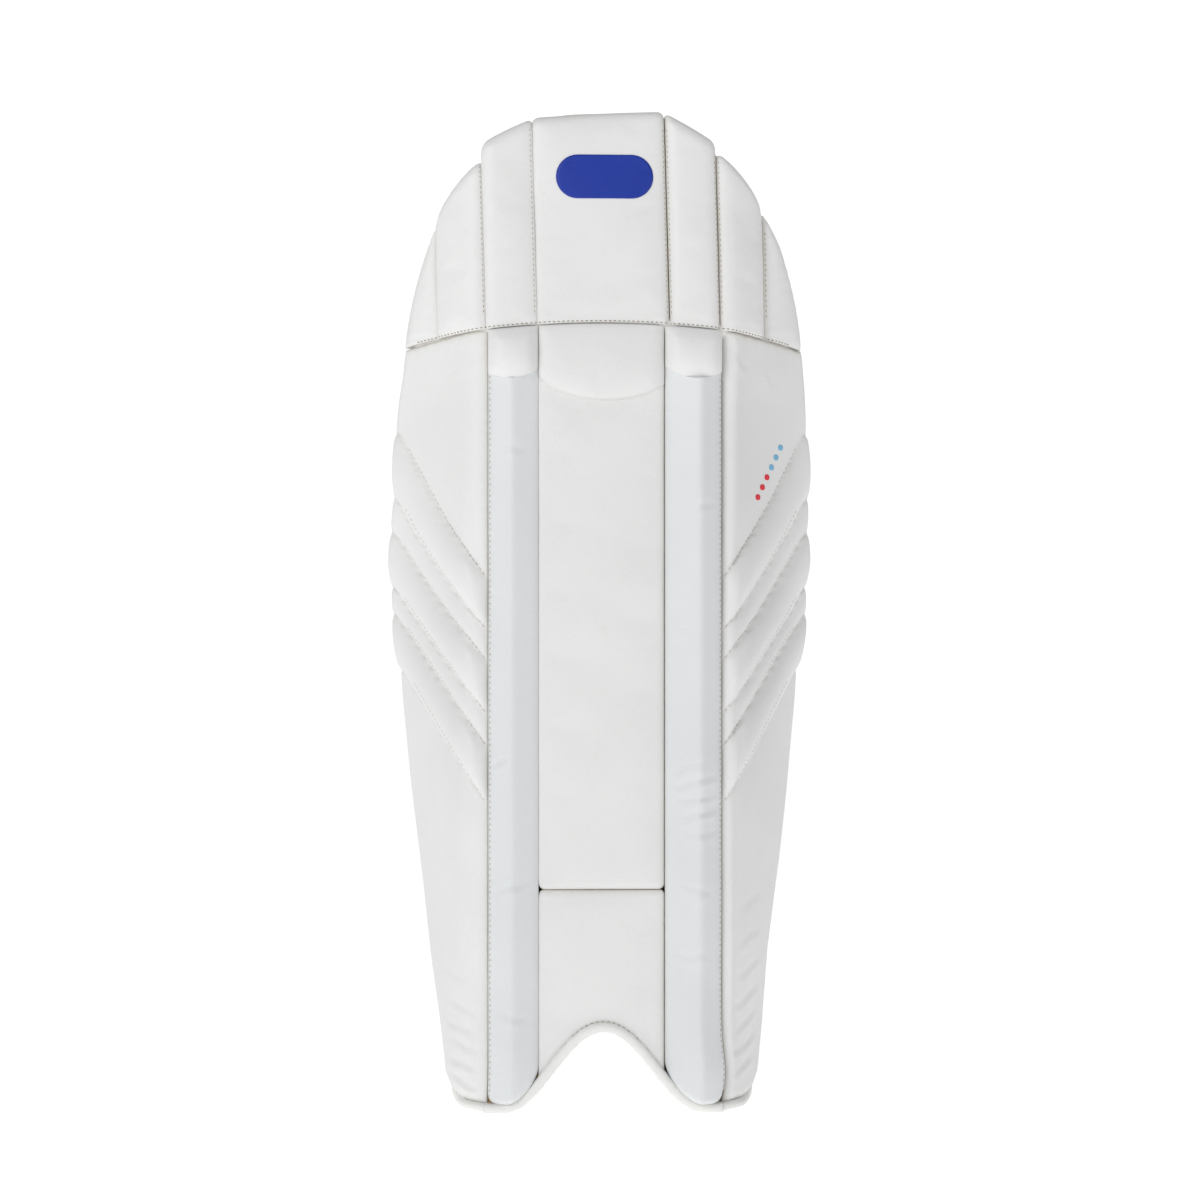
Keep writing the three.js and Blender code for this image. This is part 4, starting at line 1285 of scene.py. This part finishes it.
x = np.linspace(-116, 118, 400)
find_knee = laid_on(faces["thigh_flap"], 1)
middle = FACE_Y * MM
stitches("knee_seam_stitches", "shin", [list(zip(x, seam_at(x) + 1.5))], find_knee, pitch=2.9,
         long=1.7, radius=0.3, finish=NEEDLE_HOLE_SHADE_THREAD,
         joins=("shin", "thigh_flap", (0, middle, 0.478), (0, middle, 0.51)))
rows = [row(side + lean_at(493.0), 493, side + lean_at(top), top, 90) for side, top in (
    (-73.9, 592), (-42.4, 608), (39.6, 608), (42.3, 608), (71.2, 592), (73.7, 590), (103.2, 548))]
stitches("flap_seam_stitches", "thigh_flap", rows, find_knee, pitch=3.2, long=1.4, radius=0.2,
         finish=NEEDLE_HOLE_SHADE_THREAD)

find_back = laid_on([backs[0]], -1)
x = np.linspace(-70, 70, 120)
around = [row(-70, 20, -70, 470, 160), row(70, 20, 70, 470, 160), list(zip(x, seam_at(x) - 8)),
          list(zip(x, foot_at(x) + 4))]
stitches("shin_lining_stitches", "shin", around, find_back, pitch=3.8)
for number, (side, sign) in enumerate(SIDES):
    find_back = laid_on([backs[1 + number]], -1)
    z = np.linspace(10, 462, 220)
    edge = list(zip(sign * (rim_line(z, side) - 8.5), z))
    near = list(zip(np.full(220, sign * (WING_START + 3)), z))
    stitches(f"wing_lining_stitches_{side}", f"{side}_wing", [edge, near], find_back, pitch=3.8)
find_back = laid_on([backs[3]], -1)
turn = np.linspace(-1, 1, 240) * 1.3
x = (FLAP_HALF - 9.5) * np.sin(turn)
z = dome_at(x * FLAP_HALF / (FLAP_HALF - 9.5)) - 9.5
rows = [list(zip(x, z))] + [row(s, 493, s - 3, 596 if abs(s) < 60 else 580, 60)
                            for s in FLAP_SEAMS]
stitches("flap_lining_stitches", "thigh_flap", rows, find_back, pitch=3.8)


def mark(name, body, outline, find, finish, thick=0.16, rings=10):
    """A printed mark: a thin patch inside an outline of x and z that follows the facing."""
    outline = resample([*outline, outline[0]], 72, 0)[:-1]
    middle = outline.mean(0)
    front, count = [], len(outline)
    for scale in np.linspace(0.04, 1, rings):
        ring = middle + (outline - middle) * scale
        for x, z in ring:
            spot, normal = find(float(x), float(z))
            front.append((spot, normal))
    lift = [spot + normal * thick * MM for spot, normal in front]
    drop = [spot - normal * 0.5 * MM for spot, normal in front]
    points, polygons = lift + drop, []
    shift = len(lift)
    for r in range(rings - 1):
        for c in range(count):
            d = (c + 1) % count
            quad = [r * count + c, r * count + d, (r + 1) * count + d, (r + 1) * count + c]
            polygons += [quad, [q + shift for q in reversed(quad)]]
    last = (rings - 1) * count
    for c in range(count):
        d = (c + 1) % count
        polygons.append([last + c, last + d, last + d + shift, last + c + shift])
    polygons += [list(range(count)), [c + shift for c in reversed(range(count))]]
    piece = piece_from(name, points, polygons, finish)
    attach(piece, body)
    return piece


def label_outline(x, z, wide, high, radius, count=16):
    """A rectangle with rounded corners."""
    points = []
    for k, (sx, sz) in enumerate(((1, 1), (-1, 1), (-1, -1), (1, -1))):
        for turn in np.linspace(0, math.pi / 2, count) + k * math.pi / 2:
            points.append((x + sx * (wide / 2 - radius) + radius * math.cos(turn),
                           z + sz * (high / 2 - radius) + radius * math.sin(turn)))
    return points


find_flap = laid_on([o for o in faces["thigh_flap"] if o.name == "flap_channel_centre"], 1)
mark("flap_print", "thigh_flap", label_outline(0.5, 577.5, 60, 27, 13.4), find_flap, BLUE_INK,
     thick=0.34, rings=16)
find_wing = laid_on(faces["right_wing"], 1)
for number, share in enumerate(np.linspace(0, 1, 6)):
    x, z = lerp(97.5, 113.5, share), lerp(381, 413, share)
    mark(f"wing_print_{number}", "right_wing", label_outline(x, z, 3.4, 3.8, 1.6, 6), find_wing,
         RED_INK if number < 3 else SKY_INK, rings=4)

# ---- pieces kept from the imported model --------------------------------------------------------

for node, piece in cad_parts.items():
    if piece.hide_render:
        continue
    finish = FOAM
    if "rods" in node:
        finish = WOOD
    elif "board" in node:
        finish = BOARD
    if not piece.material_slots:
        piece.data.materials.append(finish)
    for slot in piece.material_slots:
        slot.material = finish

# ---- floor, light and camera ------------------------------------------------------------------


def floor():
    mesh = bpy.data.meshes.new("studio_floor")
    far = 9.0
    mesh.from_pydata([(-far, -far, 0), (far, -far, 0), (far, far, 0), (-far, far, 0)], [],
                     [(0, 1, 2, 3)])
    piece = linked("studio_floor", mesh)
    f = Finish("pale_floor")
    f.put(f.shader.inputs["Emission Color"], (1, 1, 1, 1))
    f.put(f.shader.inputs["Emission Strength"], 0.62)
    mesh.materials.append(f.done((0.86, 0.86, 0.86, 1), 0.9, Specular_IOR_Level=0.0))


def softbox(name, place, aim, size, power):
    lamp = bpy.data.lights.new(name, "AREA")
    lamp.shape, lamp.size, lamp.energy = "SQUARE", size, power
    box = linked(name, lamp)
    box.location = place
    box.rotation_euler = (Vector(aim) - Vector(place)).to_track_quat("-Z", "Y").to_euler()


def surroundings():
    world = bpy.data.worlds.new("studio")
    bpy.context.scene.world = world
    world.use_nodes = True
    tree = world.node_tree
    back = tree.nodes["Background"]
    seen = tree.nodes.new("ShaderNodeBackground")
    seen.inputs[0].default_value, seen.inputs[1].default_value = (1, 1, 1, 1), 1.05
    back.inputs[0].default_value, back.inputs[1].default_value = (0.985, 0.99, 1, 1), 0.45
    path, pick = tree.nodes.new("ShaderNodeLightPath"), tree.nodes.new("ShaderNodeMixShader")
    tree.links.new(path.outputs["Is Camera Ray"], pick.inputs[0])
    tree.links.new(back.outputs[0], pick.inputs[1])
    tree.links.new(seen.outputs[0], pick.inputs[2])
    tree.links.new(pick.outputs[0], tree.nodes["World Output"].inputs[0])


def camera():
    lens = bpy.data.cameras.new("camera")
    lens.lens, lens.sensor_width = 87.4, 36
    eye = linked("camera", lens)
    yaw, away, high = math.radians(2.0), 1.8, 0.3166
    aim = Vector((-0.0022, FACE_Y * MM, high))
    eye.location = aim + Vector((-away * math.sin(yaw), -away * math.cos(yaw), 0))
    eye.rotation_euler = (aim - eye.location).to_track_quat("-Z", "Y").to_euler()
    bpy.context.scene.camera = eye


floor()
surroundings()
softbox("key_light", (-1.6, -1.8, 1.3), (0, 0, 0.3), 1.1, 16.5)
softbox("fill_light", (1.9, -1.6, 0.9), (0, 0, 0.3), 1.6, 2.5)
camera()
bpy.context.scene.view_settings.view_transform = "Standard"
